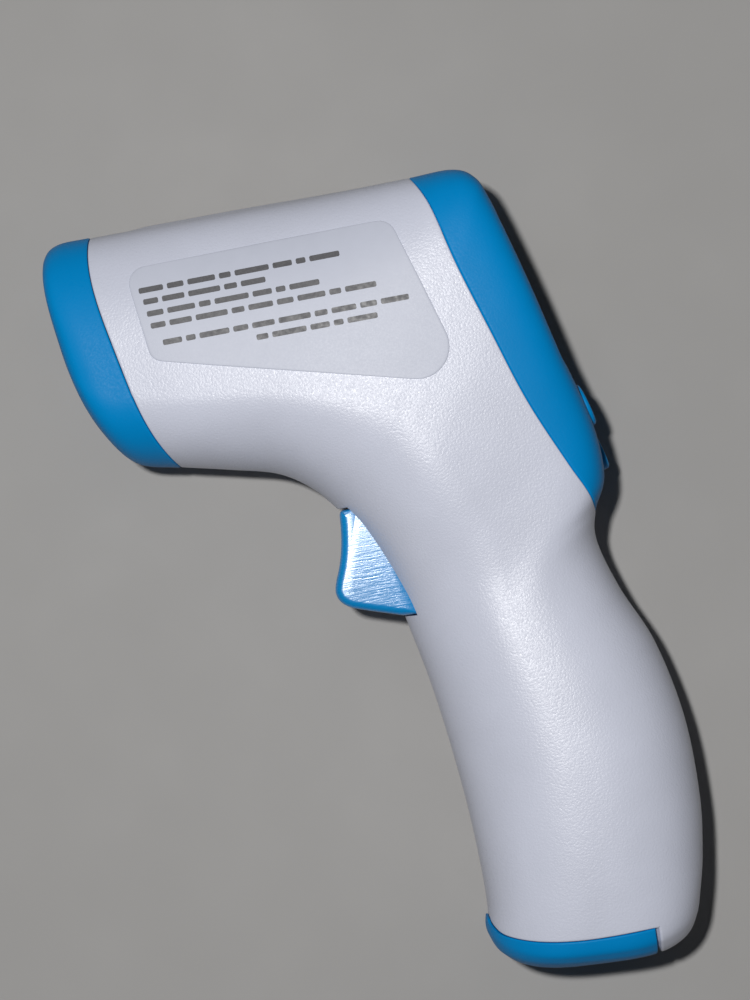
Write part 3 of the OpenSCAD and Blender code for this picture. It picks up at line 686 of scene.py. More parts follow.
infrared = Look("infrared_window", (0.05, 0.045, 0.08), 0.12, 0.6, Coat_Weight=0.6,
                Coat_Roughness=0.05).varied(
    ((0.4,), (0.04, 0.035, 0.08), (0.07, 0.06, 0.1)), ((1.0,), 0.08, 0.18), ((2.0,), 0.002))
cell_foil = sleeve_look("cell_sleeve", (0.03, 0.03, 0.035), 0.5, (0.02, 0.02, 0.025), (0.045, 0.045, 0.05))
cell_band = sleeve_look("cell_band", (0.55, 0.25, 0.06), 0.7, (0.48, 0.2, 0.045), (0.6, 0.28, 0.07))


# ---- Seams: rounded edges of the mouldings ----
def round_edges(outer, inner, radius, *lines):
    """Moves the points of outer near these seam lines inwards, as a rounded edge of this radius."""
    points = np.concatenate(lines)
    tree = KDTree(len(points))
    for i, p in enumerate(points):
        tree.insert(p, i)
    tree.balance()
    flat_outer, flat_inner = outer.reshape(-1, 3), inner.reshape(-1, 3)
    d = np.array([tree.find(p)[2] for p in flat_outer]) - HALF_GAP
    x = np.clip(radius - d, 0, radius)
    depth = radius - np.sqrt(radius * radius - x * x)
    away = flat_inner - flat_outer
    away /= np.maximum(np.linalg.norm(away, axis=1, keepdims=True), 1e-6)
    return (flat_outer + away * depth[:, None]).reshape(outer.shape)


def inner_surface(t, a):
    return surface(np.clip(t, 0.6, LAST - 0.6), a, WALL)


def flattened(points):
    """The casing's outer form with the flat that it lies on."""
    points[..., 2] = np.maximum(points[..., 2], FLAT_Z)
    return points


def mirrored(points):
    return points * [1, 1, -1]


def edge_positions(length, middle, far_edge=True):
    """Distances along a line of this length, closer together near its ends; middle are the shares between."""
    edge = EDGE_STEPS * min(1.0, length / (3 * EDGE_STEPS[-1]))
    end = edge[-1] if far_edge else 0.0
    inside = edge[-1] + (length - edge[-1] - end) * middle
    last = length - edge[::-1] if far_edge else [length]
    return np.concatenate([edge, inside, last])


def edge_angles(t, a0, a1, middle, far_edge=True):
    """Angles from a0 to a1 at station t, spread as edge_positions() says."""
    line, d = arc(t, a0, a1)
    return np.interp(edge_positions(d[-1], middle, far_edge), d, line)


def finer(values, times=6):
    """The values with more between them, evenly spread from each to the next."""
    at = np.arange((len(values) - 1) * times + 1) / times
    return np.interp(at, np.arange(len(values)), values)


_near_ends = np.linspace(0, 1, 80) ** 5 / 2
bezel_shares = np.concatenate([_near_ends, 1 - _near_ends, np.linspace(0, 1, 300)])
bezel_shares = np.unique(np.clip(bezel_shares, 1e-6, 1 - 1e-6))
bezel_ts = bezel_t0 + (bezel_t1 - bezel_t0) * bezel_shares
bezel_seam = surface(finer(bezel_ts), finer([seam_angle(t, 0) for t in bezel_ts]))
nose_seam = surface(NOSE_T, np.linspace(0, 180, 1500))
rail_t = np.linspace(0, LAST, 4000)
front_rail, back_rail_line = surface(rail_t, 0), surface(rail_t, 180)
door_a = np.linspace(0, corner_of_door(DOOR_END[0])[1], 260)
door_ts = np.array([door_t(a, 0) for a in door_a])
_share, _fine_share = np.linspace(0, 1, 260), np.linspace(0, 1, 1600)
door_seam = surface(np.interp(_fine_share, _share, door_ts), np.interp(_fine_share, _share, door_a))


def slot_line(x, t0, t1, n):
    """Angle along the straight joint at this x, for stations from t0 until it reaches the back."""
    ts = np.linspace(t0, t1, n)
    angles = [angle_where(t, lambda px, py: px - x, 90, 180) for t in ts]
    return ts, np.array([180.0 if a is None else a for a in angles])


def grids(rows):
    """Stations and angles of rows of points as two arrays. A row is (station or stations, angles)."""
    pairs = [np.broadcast_arrays(t, a) for t, a in rows]
    return np.array([t for t, _ in pairs], float), np.array([a for _, a in pairs], float)


# ---- White casing halves ----
# Distances in t from the ends of the bezel's joint at which a half has more rows
NEAR_BEZEL_END = np.array([-0.004, 0.001, 0.002, 0.004, 0.008, 0.014, 0.022, 0.034, 0.05, 0.08])
HALF_PARTING_GAP = 0.015
HALF_COLUMNS, HANDLE_ROWS, ROW_STEP = 105, 26, 0.75


def white_half(side):
    """The left (1) or right (-1) half between the joints, and its grid of outer points."""
    slot_x = DOOR_END[0] + DOOR_SLOT + HALF_GAP
    t_c, a_c = corner_of_door(slot_x)
    a_line, d_line = arc(HANDLE_T, 0, 180)
    length, edge = d_line[-1], EDGE_STEPS[-1]
    at_corner = float(np.interp(a_c, a_line, d_line))
    shares = np.concatenate([at_corner - EDGE_STEPS[1:], at_corner + EDGE_STEPS])
    shares = (shares - edge) / (length - 2 * edge)
    plain = np.linspace(0, 1, HALF_COLUMNS)[1:-1]
    plain = plain[np.abs(plain - shares.mean()) > 0.012]
    middle = np.sort(np.concatenate([plain, shares]))
    columns = np.interp(edge_positions(length, middle), d_line, a_line)
    corner_j = int(np.argmin(np.abs(columns - a_c)))

    def angles_at(t):
        a, d = arc(t, 0, 180)
        at = edge_positions(d[-1], middle)
        if bezel_t0 < t < bezel_t1:
            # The columns keep their places up to the joint, and those beyond it close up against it
            end = np.interp(seam_angle(t, -1), a, d)
            at = np.minimum(at, end - edge)
            at[-len(EDGE_STEPS):] = end - EDGE_STEPS[::-1]
        return np.interp(at, d, a)

    # Rows from the nose cap's joint to the handle, closer together at the ends of the bezel's joint
    first = angles_at(NOSE_T)
    rate = speed(np.full(len(first), NOSE_T), first)
    rows = [(NOSE_T + (HALF_GAP + step) / rate, first) for step in EDGE_STEPS]
    near = spread_rows(NOSE_T, HANDLE_T, ROW_STEP)
    near = np.concatenate([near[near > NOSE_T + 0.15], bezel_t0 + NEAR_BEZEL_END, bezel_t1 - NEAR_BEZEL_END])
    rows += [(t, angles_at(t)) for t in np.unique(near)]
    # Rows down the handle, which bend to follow the door's joint
    stop = np.array([door_t(a, -1) if a < a_c else t_c for a in columns])
    stop[corner_j] = t_c
    rate = speed(stop, columns)
    last_near = stop - edge / rate
    down = np.linspace(0, 1, HANDLE_ROWS)[1:]
    rows += [(HANDLE_T + (last_near - HANDLE_T) * w, columns) for w in down]
    rows += [(stop - step / rate, columns) for step in EDGE_STEPS[::-1][1:]]
    door_row = len(rows) - 1
    # Rows behind the door's straight rear end
    t_e = root(back_rail(lambda x, y: x - slot_x), *DOOR_REAR)
    ts, ends = slot_line(slot_x, t_c, t_e - 0.002, 24)
    for t, a_end in list(zip(ts, ends))[1:]:
        a = columns.copy()
        a[corner_j:] = a_end + (180 - a_end) * (columns[corner_j:] - a_c) / (180 - a_c)
        rows.append((t, np.minimum(a, 180)))
    t, a = grids(rows)
    keep = np.ones((len(t) - 1, t.shape[1] - 1), bool)
    keep[door_row:, :corner_j] = False
    outer, inner = surface(t, a), inner_surface(t, a)
    # A strip along the top edge is raised by 0.3 mm, and fades out towards the back
    raised = np.clip((a - 168) / 8, 0, 1) * np.clip((t - 5.6) / 0.35, 0, 1) * np.clip((9.0 - t) / 2.0, 0, 1)
    outer[..., 1] += 0.3 * raised * raised * (3 - 2 * raised)
    outer = round_edges(outer, inner, SEAM_R, bezel_seam, nose_seam, door_seam, surface(ts, ends))
    outer = round_edges(outer, inner, PARTING_R, front_rail, back_rail_line)
    for grid in (outer, inner):
        grid[..., 2] = np.maximum(grid[..., 2], 0) + HALF_PARTING_GAP
    if side < 0:
        outer, inner = flattened(mirrored(outer)), mirrored(inner)
    return shell_object("left_casing" if side > 0 else "right_casing", outer, inner, keep), outer


SLOT_Z = 7.9
CASE_SCREWS = [[-28, 67], [-25, 37], [12, 66], [14, 26], [44, -24], [42.5, -56]]
RECESS_R = 3.0
RECESS_FLOOR = -8.0
on_door_pivot, on_trigger_pivot = upright(14.6, -60.9), upright(-0.5, 20.0)


def trigger_slots():
    return [block("slot", (-14, 10), (-5.1, 17.2), (-SLOT_Z, SLOT_Z)),
            block("slot", (-2.8, 5), (17, 23.5), (-SLOT_Z, SLOT_Z))]


left, left_outer = white_half(1)
right, right_outer = white_half(-1)
cut(left, *trigger_slots())
cut(right, *trigger_slots())


# ---- Nose cap and display bezel ----
def both_halves(t, a):
    """Grids for the left half and its mirror image, joined at the back (angle 180)."""
    return np.concatenate([t, t[:, ::-1][:, 1:]], 1), np.concatenate([a, 360 - a[:, ::-1][:, 1:]], 1)


NOSE_PROUD = 0.12
NOSE_OPENING_R = 10.8


def nose_housing():
    middle = np.linspace(0, 1, 75)[1:-1]
    rows = []
    for t in np.concatenate([[0, 0.01, 0.04, 0.1], np.linspace(0.2, NOSE_T - 0.18, 56)]):
        # Even angles at the tip, where the section has almost no size
        even = np.linspace(0, 180, len(middle) + 2 * len(EDGE_STEPS))
        rows.append((t, even if t < 0.2 else edge_angles(t, 0, 180, middle)))
    a = rows[-1][1]
    rate = speed(np.full(len(a), NOSE_T), a)
    rows += [(NOSE_T - (HALF_GAP + step) / rate, a) for step in EDGE_STEPS[::-1]]
    t, a = both_halves(*grids(rows))
    outer, inner = surface(t, a, -NOSE_PROUD), inner_surface(t, a)
    outer[0], inner[0] = outer[0, 0], inner[0].mean(0)
    outer = round_edges(outer, inner, SEAM_R + 0.1, nose_seam, mirrored(nose_seam))
    o = shell_object("nose_housing", flattened(outer), inner)
    return cut(o, rod("opening", -14, 6, NOSE_OPENING_R, on_sensor, 128))


def display_bezel():
    shares = np.linspace(0, 1, 60)[1:-1]
    ts = spread_rows(bezel_t0, bezel_t1, 0.7)[1:-1]
    close = np.array([0.006, 0.01, 0.016, 0.025, 0.04, 0.06])
    between = ts[(ts > bezel_t0 + 0.08) & (ts < bezel_t1 - 0.08)]
    ts = np.unique(np.concatenate([bezel_t0 + close, between, bezel_t1 - close]))
    t, a = both_halves(*grids([(t, edge_angles(t, seam_angle(t, 1), 180, shares, False)) for t in ts]))
    outer, inner = surface(t, a), inner_surface(t, a)
    outer = round_edges(outer, inner, SEAM_R, bezel_seam, mirrored(bezel_seam))
    return shell_object("display_bezel", flattened(outer), inner)


WINDOW_Y, WINDOW_W, WINDOW_H, WINDOW_R = 4.5, 31.0, 32.0, 2.4
# Each key's place (y, z), its top and the foot of its flange
KEYS = {"mode_key": (-28.0, 0.0, 0.0, -4.9), "up_key": (-19.4, 8.0, 0.7, -3.0),
        "down_key": (-19.4, -8.0, 0.7, -3.0)}
KEY_R = 4.1


def facing_display(p):
    """Points drawn as (across y, up z, out x) of the display's frame."""
    p = np.asarray(p, float).reshape(-1, 3)
    return on_display(p[:, [2, 0, 1]])


nose = nose_housing()
bezel = display_bezel()
window_levels = [(-3.5, 0), (-0.45, 0), (-0.12, -0.14), (0.35, -0.62), (3, -0.62)]
window_outline = rounded_outline(WINDOW_H, WINDOW_W, WINDOW_R) + [WINDOW_Y, 0]
cut(bezel, extrude("window_cut", window_outline, window_levels, facing_display))
# The keys' holes, with a small bevel at the top: how much wider than the key
key_hole = [(-6, -KEY_R), (-6, 0.2), (-0.35, 0.2), (0.0, 0.36), (0.5, 0.8), (4, 0.8), (4, -KEY_R)]
key_hole = [(x, KEY_R + wider) for x, wider in key_hole]
for key_y, key_z, _, _ in KEYS.values():
    cut(bezel, revolve("key_cut", key_hole, shifted(on_display, key_y, key_z), 72))


# ---- Battery door ----
DOOR_LIP = 0.55
HINGE_ARM_Z = (7.0, 8.6)
HINGE_BORE_R = 1.04
HINGE_PIN_END = 11.4
DOOR_ARM = [[17.8, -73.5], [17.8, -66.2], [14.2, -62.2], [15.6, -59.8], [20.4, -65], [20.4, -74.2]]
LATCH = [[36.6, -73.6], [38.6, -73.6], [38.6, -69.4], [38.0, -67.6], [36.6, -67.6]]
# More rows where the rear edge reaches the parting plane, as shares of the way down
AT_PARTING = np.array([-0.012, -0.006, -0.003, -0.001, -0.0002, 0.0002])


def battery_cover():
    line_x = DOOR_END[0] - HALF_GAP
    t_c, a_c = corner_of_door(line_x)
    t_e = root(back_rail(lambda x, y: x - line_x), *DOOR_REAR)
    ts, ends = slot_line(line_x, t_c, t_e, 500)
    sigma = edge_angles(t_c, 0, a_c, np.linspace(0, 1, 70)[1:-1]) / a_c
    start = np.array([door_t(share * a_c, 1) for share in sigma[:-1]] + [t_c])
    rate = speed(start, sigma * a_c)
    rows_t = [start + step / rate for step in EDGE_STEPS]
    begin = rows_t[-1]
    at_parting = (t_e - begin[-1]) / (LAST - begin[-1]) + AT_PARTING
    shares = np.unique(np.append(np.linspace(0, 1, 62)[1:], at_parting))
    t = np.array(rows_t + [begin + (LAST - begin) * w for w in shares])
    a = sigma[None] * np.where(t[:, -1] < t_e, np.interp(t[:, -1], ts, ends), 180.0)[:, None]
    # From the right half's end, round the front, to the left half's end
    t = np.concatenate([t[:, ::-1], t[:, 1:]], 1)
    a = np.concatenate([-a[:, ::-1], a[:, 1:]], 1)
    outer, inner = surface(t, a), inner_surface(t, a)
    closed = t[:, -1] >= t_e
    for grid in (outer, inner):
        grid[-1] = grid[-1].mean(0)
        grid[closed, 0, 2] = 0
        grid[closed, -1] = grid[closed, 0]
    # A lip at the front, where a fingernail finds the door
    near_front = np.exp(-(a / 38.0) ** 2) * np.exp(-((outer[..., 1] + 65.0) / 2.4) ** 2)
    outer[..., 0] -= DOOR_LIP * near_front
    seam = np.concatenate([door_seam, surface(ts, ends)])
    o = shell_object("battery_cover", round_edges(outer, inner, SEAM_R, seam, mirrored(seam)), inner)
    # Inside the wall the joint follows its line straight across, so that the door clears the casing
    line = door_curve[door_curve[:, 0] < DOOR_END[0] - 2] - [0, HALF_GAP / 2]
    above = np.concatenate([line, [[line[-1, 0], -50], [line[0, 0], -50]]])
    cut(o, extrude("above", above, [(-25, 0), (25, 0)]))
    for side in (-1, 1):
        z0, z1 = sorted(side * z for z in HINGE_ARM_Z)
        arm = extrude("arm", DOOR_ARM, rounded_levels(z0, z1, 0.25, 2))
        rim = [(z0, 1.5), (z0 + 0.2, 1.62), (z1 - 0.2, 1.62), (z1, 1.5)]
        profile = [(z0, HINGE_BORE_R), *rim, (z1, HINGE_BORE_R), (z0, HINGE_BORE_R)]
        knuckle = revolve("knuckle", profile, on_door_pivot, 40)
        cut(arm, rod("bore", z0 - 1, z1 + 1, HINGE_BORE_R, on_door_pivot, 40))
        add(o, arm, knuckle)
    return add(o, extrude("latch", LATCH, rounded_levels(-4, 4, 0.3, 2)))


door = battery_cover()

# ---- Trigger ----
TRIGGER_FRONT = [[-4.4, 16.8], [-5, 16.2], [-5.25, 14], [-5.6, 11.4], [-6.2, 8.6], [-7, 6.1], [-7.9, 3.9],
                 [-8.4, 1.9], [-7.9, 0.1], [-6.2, -1.4], [-3, -2.6], [0, -3.6], [3.4, -4.7]]
TRIGGER_BACK = [[7, -4.9], [7, 3], [4.5, 6], [4.5, 14], [2.2, 20.2], [1.3, 21.8], [-0.5, 22.5],
                [-2.1, 21.4], [-2.4, 20], [-2, 16.8]]
TRIGGER_HALF = 7.5
TRIGGER_EDGE_R = 1.5


def trigger_lever():
    front = curve(TRIGGER_FRONT, 5)
    outline = np.concatenate([front, TRIGGER_BACK])
    edge_r = np.concatenate([np.full(len(front), TRIGGER_EDGE_R), np.full(len(TRIGGER_BACK), 0.25)])
    edge_r[:3] = [0.5, 0.8, 1.2]
    # The rounded edges are as deep everywhere, but the flat back keeps its outline nearly to the side
    levels = [(z, edge_r * (move / TRIGGER_EDGE_R))
              for z, move in rounded_levels(-TRIGGER_HALF, TRIGGER_HALF, TRIGGER_EDGE_R, 7)]
    o = extrude("trigger_lever", outline, levels)
    cut(o, block("hollow", (1.2, 8), (-4, 7), (-5, 5)))
    pin = [(-11.4, 1.0), (-11.2, 1.2), (11.2, 1.2), (11.4, 1.0)]
    return add(o, revolve("pin", pin, on_trigger_pivot, 40))


trigger = trigger_lever()

# ---- Screws and bosses inside the casing ----
def middle_of_wall():
    """Closed form half a wall inside the casing, which trims what stands on its inside."""
    ts = spread_rows(0.3, LAST - 0.3, 1.5)
    grid = surface(ts[:, None], np.linspace(0, 360, 97)[None], WALL / 2)
    tips = np.broadcast_to(grid[[0, -1]].mean(1, keepdims=True), (2, *grid.shape[1:]))
    grid = np.concatenate([tips[:1], grid, tips[1:]])
    grid[..., 2] = np.maximum(grid[..., 2], FLAT_Z + WALL / 2)
    grid[:, -1] = grid[:, 0]
    return mesh_object("trim", grid, grid_faces(grid))


def casing_bosses(half, outer, side):
    """Adds the screw bosses, and takes away the screw holes and the pivots' bores."""
    tree = BVHTree.FromPolygons(outer.reshape(-1, 3).tolist(), grid_faces(outer))
    r = 3.0 if side > 0 else RECESS_R + 1.2
    boss = [(side * z, radius) for z, radius in ((0.03, r - 0.15), (0.2, r), (BEYOND, r))]
    posts = [revolve("boss", boss, upright(x, y), 32) for x, y in CASE_SCREWS]
    for place, r, low in ((on_trigger_pivot, 3.0, SLOT_Z + 0.3), (on_door_pivot, 2.4, HINGE_ARM_Z[1] + 0.3)):
        posts.append(revolve("pivot_post", [(side * low, r), (side * BEYOND, r)], place, 32))
    for post in posts:
        apply_boolean(post, middle_of_wall(), "INTERSECT")
        add(half, post)
    for x, y in CASE_SCREWS:
        hole = [(-1, 0), (-1, 1.3), (8, 1.3), (8, 0)]
        if side < 0:
            mouth = tree.ray_cast(Vector((x, y, -RAY_START)), Vector((0, 0, 1)))[0].z
            wide = RECESS_R + 0.7
            hole = [(1, 0), (1, 1.7), (RECESS_FLOOR, 1.7), (RECESS_FLOOR, RECESS_R), (mouth + 0.35, RECESS_R),
                    (mouth, RECESS_R + 0.14), (mouth - 0.6, wide), (mouth - 9, wide), (mouth - 9, 0)]
        cut(half, revolve("hole", hole, upright(x, y), 48))
    cut(half, rod("bore", 0, side * 11.8, 1.25, on_trigger_pivot, 32),
        rod("bore", side * 9, side * (HINGE_PIN_END + 0.3), 1.05, on_door_pivot, 32))


casing_bosses(left, left_outer, 1)
casing_bosses(right, right_outer, -1)


def screw(place, head_x, head_r, head_h, shank_r, length):
    """Pan-head screw with a cross recess and a thread. The head lies on the -X side of head_x."""
    dome = [(head_x - head_h * (0.35 + 0.65 * math.cos(v)), head_r * (0.02 + 0.98 * math.sin(v)))
            for v in np.linspace(0, math.pi / 2, 7)]
    profile = [(head_x - head_h, 0.6), *dome[1:], (head_x, head_r), (head_x, shank_r)]
    tip, pitch, core_r = head_x + length, shank_r * 0.8, shank_r * 0.84
    for k in range(int(length / pitch)):
        x = head_x + 0.3 + k * pitch
        turn = [(x, core_r), (x + pitch * 0.3, core_r), (x + pitch * 0.5, shank_r), (x + pitch * 0.7, core_r)]
        profile += [p for p in turn if p[0] <= tip]
    profile += [(tip - 0.4, shank_r * 0.8), (tip, shank_r * 0.3)]
    o = revolve("screw", profile, place, 28)
    arm, half_w = head_r * 0.62, head_r * 0.12
    for y, z in ((arm, half_w), (half_w, arm)):
        outline = [[-y, -z], [y, -z], [y, z], [-y, z]]
        levels = [(head_x - head_h - 0.5, -0.05), (head_x - head_h * 0.35, half_w * 0.35)]
        cut(o, extrude("recess", outline, levels, lambda p: place(p[:, [2, 0, 1]])))
    return o


BOARD_SCREWS = [[-14.8, 13.2], [-14.8, -13.2], [23.6, 10.5], [23.6, -10.5]]
BOARD_BACK = -9.2
case_screws = join("case_screw_set", *[
    screw(upright(x, y), RECESS_FLOOR, 2.6, 1.8, 1.25, 12.0) for x, y in CASE_SCREWS])
board_screws = join("board_screw_set", *[
    screw(shifted(on_display, y, z), BOARD_BACK, 2.0, 1.2, 0.85, 5.6) for y, z in BOARD_SCREWS])
pin_profile = [(HINGE_ARM_Z[0], 0.85), (HINGE_ARM_Z[0] + 0.15, 1.0), (HINGE_PIN_END - 0.15, 1.0),
               (HINGE_PIN_END, 0.85)]
hinge_pins = join("hinge_pins", *[
    revolve("pin", [(side * x, r) for x, r in pin_profile], on_door_pivot, 32) for side in (-1, 1)])


# ---- Display: lens, liquid crystal and keys ----
def window_plate(name, smaller, r, levels):
    """Plate in the window's opening, smaller than it by this much."""
    outline = rounded_outline(WINDOW_H - smaller, WINDOW_W - smaller, r) + [WINDOW_Y, 0]
    return extrude(name, outline, levels, facing_display)


lens = window_plate("display_lens", 0.4, 2.3, [(-1.9, 0), (-0.72, 0), (-0.63, 0.04), (-0.6, 0.12)])
# Black border printed behind the lens, with the opening for the reading
border = window_plate("lens_border", 0.6, 2.2, [(-1.99, 0), (-1.92, 0)])
reading_outline = rounded_outline(24.0, 24.6, 0.8) + [WINDOW_Y + 0.4, 0]
cut(border, extrude("opening", reading_outline, [(-3, 0), (-1, 0)], facing_display))

SEGMENT_L, SEGMENT_W, DIGIT_PITCH = 5.0, 1.1, 7.4
# Just in front of the panel's glass
SEGMENT_LEVELS = [(-2.998, 0), (-2.96, 0)]


def segment_plate(y, z, along_y, length):
    """One bar of a digit, pointed at both ends."""
    h, w = length / 2 - 0.15, SEGMENT_W / 2
    outline = np.array([[-h, 0], [-h + w, -w], [h - w, -w], [h, 0], [h - w, w], [-h + w, w]])
    if not along_y:
        outline = outline[:, ::-1] * [1, -1]
    return extrude("bar", outline + [y, z], SEGMENT_LEVELS, facing_display)


def digit_plates():
    """Unlit segments of three digits and their decimal point. Digits stand up along the display's Y axis."""
    plates, half, y0 = [], SEGMENT_L / 2, WINDOW_Y + 0.5
    for z0 in (-DIGIT_PITCH, 0, DIGIT_PITCH):
        plates += [segment_plate(y0 + y, z0, False, SEGMENT_L - 0.4) for y in (-SEGMENT_L, 0, SEGMENT_L)]
        plates += [segment_plate(y0 + y, z0 + z, True, SEGMENT_L)
                   for y in (-half, half) for z in (0.1 - half, half - 0.1)]
    point = rounded_outline(SEGMENT_W, SEGMENT_W, 0.5) + [y0 - SEGMENT_L, DIGIT_PITCH / 2 + 0.1]
    return join("reading_segments", *plates, extrude("dot", point, SEGMENT_LEVELS, facing_display))


segments = digit_plates()


def key_cap(name):
    y, z, top, low = KEYS[name]
    rim = [(top - 0.55 + 0.55 * math.sin(v), KEY_R - 0.55 + 0.55 * math.cos(v))
           for v in np.linspace(0, math.pi / 2, 7)]
    dish = [(top - 0.18 * (1 - (r / 3.2) ** 2), r) for r in (3.0, 2.2, 1.3, 0.4)]
    flange = [(low, KEY_R + 0.35), (low + 0.42, KEY_R + 0.35), (low + 0.5, KEY_R + 0.27), (low + 0.5, KEY_R)]
    return revolve(name + "_cap", flange + rim + dish, shifted(on_display, y, z), 96)


def key_mark(name, outline):
    y, z, top, _ = KEYS[name]
    levels = [(top - 0.35, 0), (top - 0.08, 0), (top - 0.05, 0.03)]
    return extrude(name + "_mark", np.asarray(outline, float) + [y, z], levels, facing_display)


caps = {n: key_cap(n) for n in KEYS}
triangle = np.array([[1.1, 0], [-0.7, 1.15], [-0.7, -1.15]])
dot = [[1.2 * math.cos(v), 1.2 * math.sin(v)] for v in np.linspace(0, 2 * math.pi, 24, endpoint=False)]
marks = {"up_key": key_mark("up_key", triangle), "down_key": key_mark("down_key", (triangle * [-1, 1])[::-1]),
         "mode_key": key_mark("mode_key", dot)}

# ---- Sensor ----
APERTURE_R, APERTURE_END = 8.0, -5.6
CAN_PIN_AT, CAN_PIN_R = 2.5, 0.23
cone = revolve("sensor_cone_body", [
    (-0.6, 10.35), (-0.68, 10.52), (-0.85, 10.6), (-3.2, 10.6), (-3.2, 10.75), (-4.6, 10.75), (-4.6, 10),
    (-15, 10), (-15, 8.2), (-10.4, 8.2), (-10.4, 4.4), (APERTURE_END - 0.1, APERTURE_R - 0.08),
    (APERTURE_END, APERTURE_R), (-0.9, APERTURE_R), (-0.68, APERTURE_R + 0.08), (-0.6, APERTURE_R + 0.25),
    (-0.6, 10.35)], on_sensor, 128)
filter_window = revolve("infrared_window", [
    (-11.4, 2.5), (-11.3, 2.6), (-10.85, 2.6), (-10.7, 2.3), (-10.66, 1.2), (-10.65, 0.2)], on_sensor, 48)
can = revolve("sensor_can_body", [
    (-15.6, 4.5), (-15.5, 4.6), (-15.15, 4.6), (-15.1, 4.3), (-15.05, 4.1), (-11.6, 4.1), (-11.42, 4.0),
    (-11.4, 3.8)], on_sensor, 64)
pins = []
for v in np.radians([45, 135, 225, 315]):
    y, z = CAN_PIN_AT * math.cos(v), CAN_PIN_AT * math.sin(v)
    pins.append(tube("pin", on_sensor([[-15.7, y, z], [-18.6, y, z]]), CAN_PIN_R, 12))
sensor_can = join("sensor_can_body", can, *pins)


# ---- Springs, cells and wires ----
SPRING_FOOT, SPRING_SEAT, SPRING_Y = 1.2, 11.0, -1.0
CELL_TOP, CELL_BOTTOM, HOLDER_TOP, PLATE_Y = -22.5, -67.0, -18.0, -70.7
FRONT_CELL_X, REAR_CELL_X = 20.2, 31.4
COIL_WIRE_R = 0.25


def coil(name, turns, r0, r1, height, place):
    """Spring with its first and last turns flat."""
    f = np.linspace(0, 1, turns * 36 + 1)
    a, turn = 2 * math.pi * turns * f, f * turns
    rise = np.clip((turn - 0.75) / (turns - 1.5), 0, 1) * (height - 1.0)
    rise += 0.5 * np.clip(turn / 0.75, 0, 1) + 0.5 * np.clip((turn - (turns - 0.75)) / 0.75, 0, 1)
    r = r0 + (r1 - r0) * f
    return tube(name, place(np.column_stack([rise, r * np.cos(a), r * np.sin(a)])), COIL_WIRE_R, 12)


def lying(x, y, direction):
    """Local X axis along +y (1) or -y (-1) from (x, y)."""
    return lambda p: np.column_stack([p[:, 1] + x, direction * p[:, 0] + y, direction * -p[:, 2]])


trigger_coil = coil("trigger_coil", 6, 1.9, 1.9, SPRING_SEAT - SPRING_FOOT - 0.6,
                    frame_at(SPRING_FOOT + 0.3, SPRING_Y, 0))
upper_coil = coil("upper_coil", 4, 3.0, 1.7, HOLDER_TOP - CELL_TOP - 1.9,
                  lying(REAR_CELL_X, HOLDER_TOP - 1.65, -1))
door_coil = coil("door_coil", 4, 3.0, 1.7, CELL_BOTTOM - PLATE_Y - 0.9,
                 lying(FRONT_CELL_X, PLATE_Y + 0.65, 1))


def dry_cell(name, x, plus_up):
    """A cell: steel can with rolled ends and a positive nub, and its printed foil as two more pieces."""
    place = lying(x, CELL_BOTTOM, 1) if plus_up else lying(x, CELL_TOP, -1)
    profiles = {
        "_can": [(0, 4.2), (0.05, 4.4), (0.6, 4.7), (0.7, 5.0), (43.0, 5.0), (43.3, 4.6), (43.5, 4.2),
                 (43.5, 2.1), (43.6, 1.9), (44.3, 1.9), (44.5, 1.7)],
        "_foil": [(0.35, 4.6), (0.5, 5.05), (0.9, 5.2), (30.2, 5.2), (30.2, 4.98), (0.9, 4.98),
                  (0.35, 4.6)],
        "_band": [(30.2, 4.98), (30.2, 5.2), (42.9, 5.2), (43.25, 5.05), (43.4, 4.6), (42.9, 4.98),
                  (30.2, 4.98)],
    }
    return [revolve(name + part, profile, place, 64) for part, profile in profiles.items()]


front_cell = dry_cell("front_cell", FRONT_CELL_X, True)
rear_cell = dry_cell("rear_cell", REAR_CELL_X, False)

# Each lead's radius and route
WIRES = {
    "red_lead": (0.65, [[20.2, -16.6, 0], [20.2, -13, 0], [21.6, -7, 0], [24.6, 0, 1], [27.4, 7, 3],
                        [29.6, 13, 5], [30.6, 18, 6]]),
    "black_lead": (0.65, [[31.4, -16.6, 0], [31.4, -13, -0.4], [31.2, -8, -3], [31.4, 0, -6], [31.6, 7, -7],
                          [31.6, 12.6, -7], [31.2, 16.8, -6]]),
    "trigger_lead": (0.8, [[12.2, 8, -5], [14, 8.2, -5], [18, 10, -3], [22.4, 13.6, -1], [26, 17.6, -1],
                           [29.4, 20.6, -1]]),
    "sensor_lead": (1.1, [[-33.6, 63.4, 3], [-30, 62.6, 3], [-24, 60.2, 2], [-14, 58, 1], [-2, 58, 0],
                          [9, 59, 0], [17, 58.4, -2], [22, 56, -4], [24.4, 52.6, -4], [25.4, 50.6, -4]]),
}
wire_pieces = {n: tube(n + "_wire", curve(route, 10), r) for n, (r, route) in WIRES.items()}

# ---- Rating label ----
# Corner circles of the film: x, y, radius
LABEL_CORNERS = [[-32.4, 64.7, 3.2], [11.4, 64.9, 3.2], [14.6, 43.9, 6], [-31.5, 52.4, 2.6]]
LABEL_T = 0.15
LABEL_EDGE = ((0.5, 0), (0.16, 0), (0.07, -0.02), (0.02, -0.06), (0.0, -0.1))
SUNK = -0.05
left_tree = BVHTree.FromPolygons(left_outer.reshape(-1, 3).tolist(), grid_faces(left_outer))


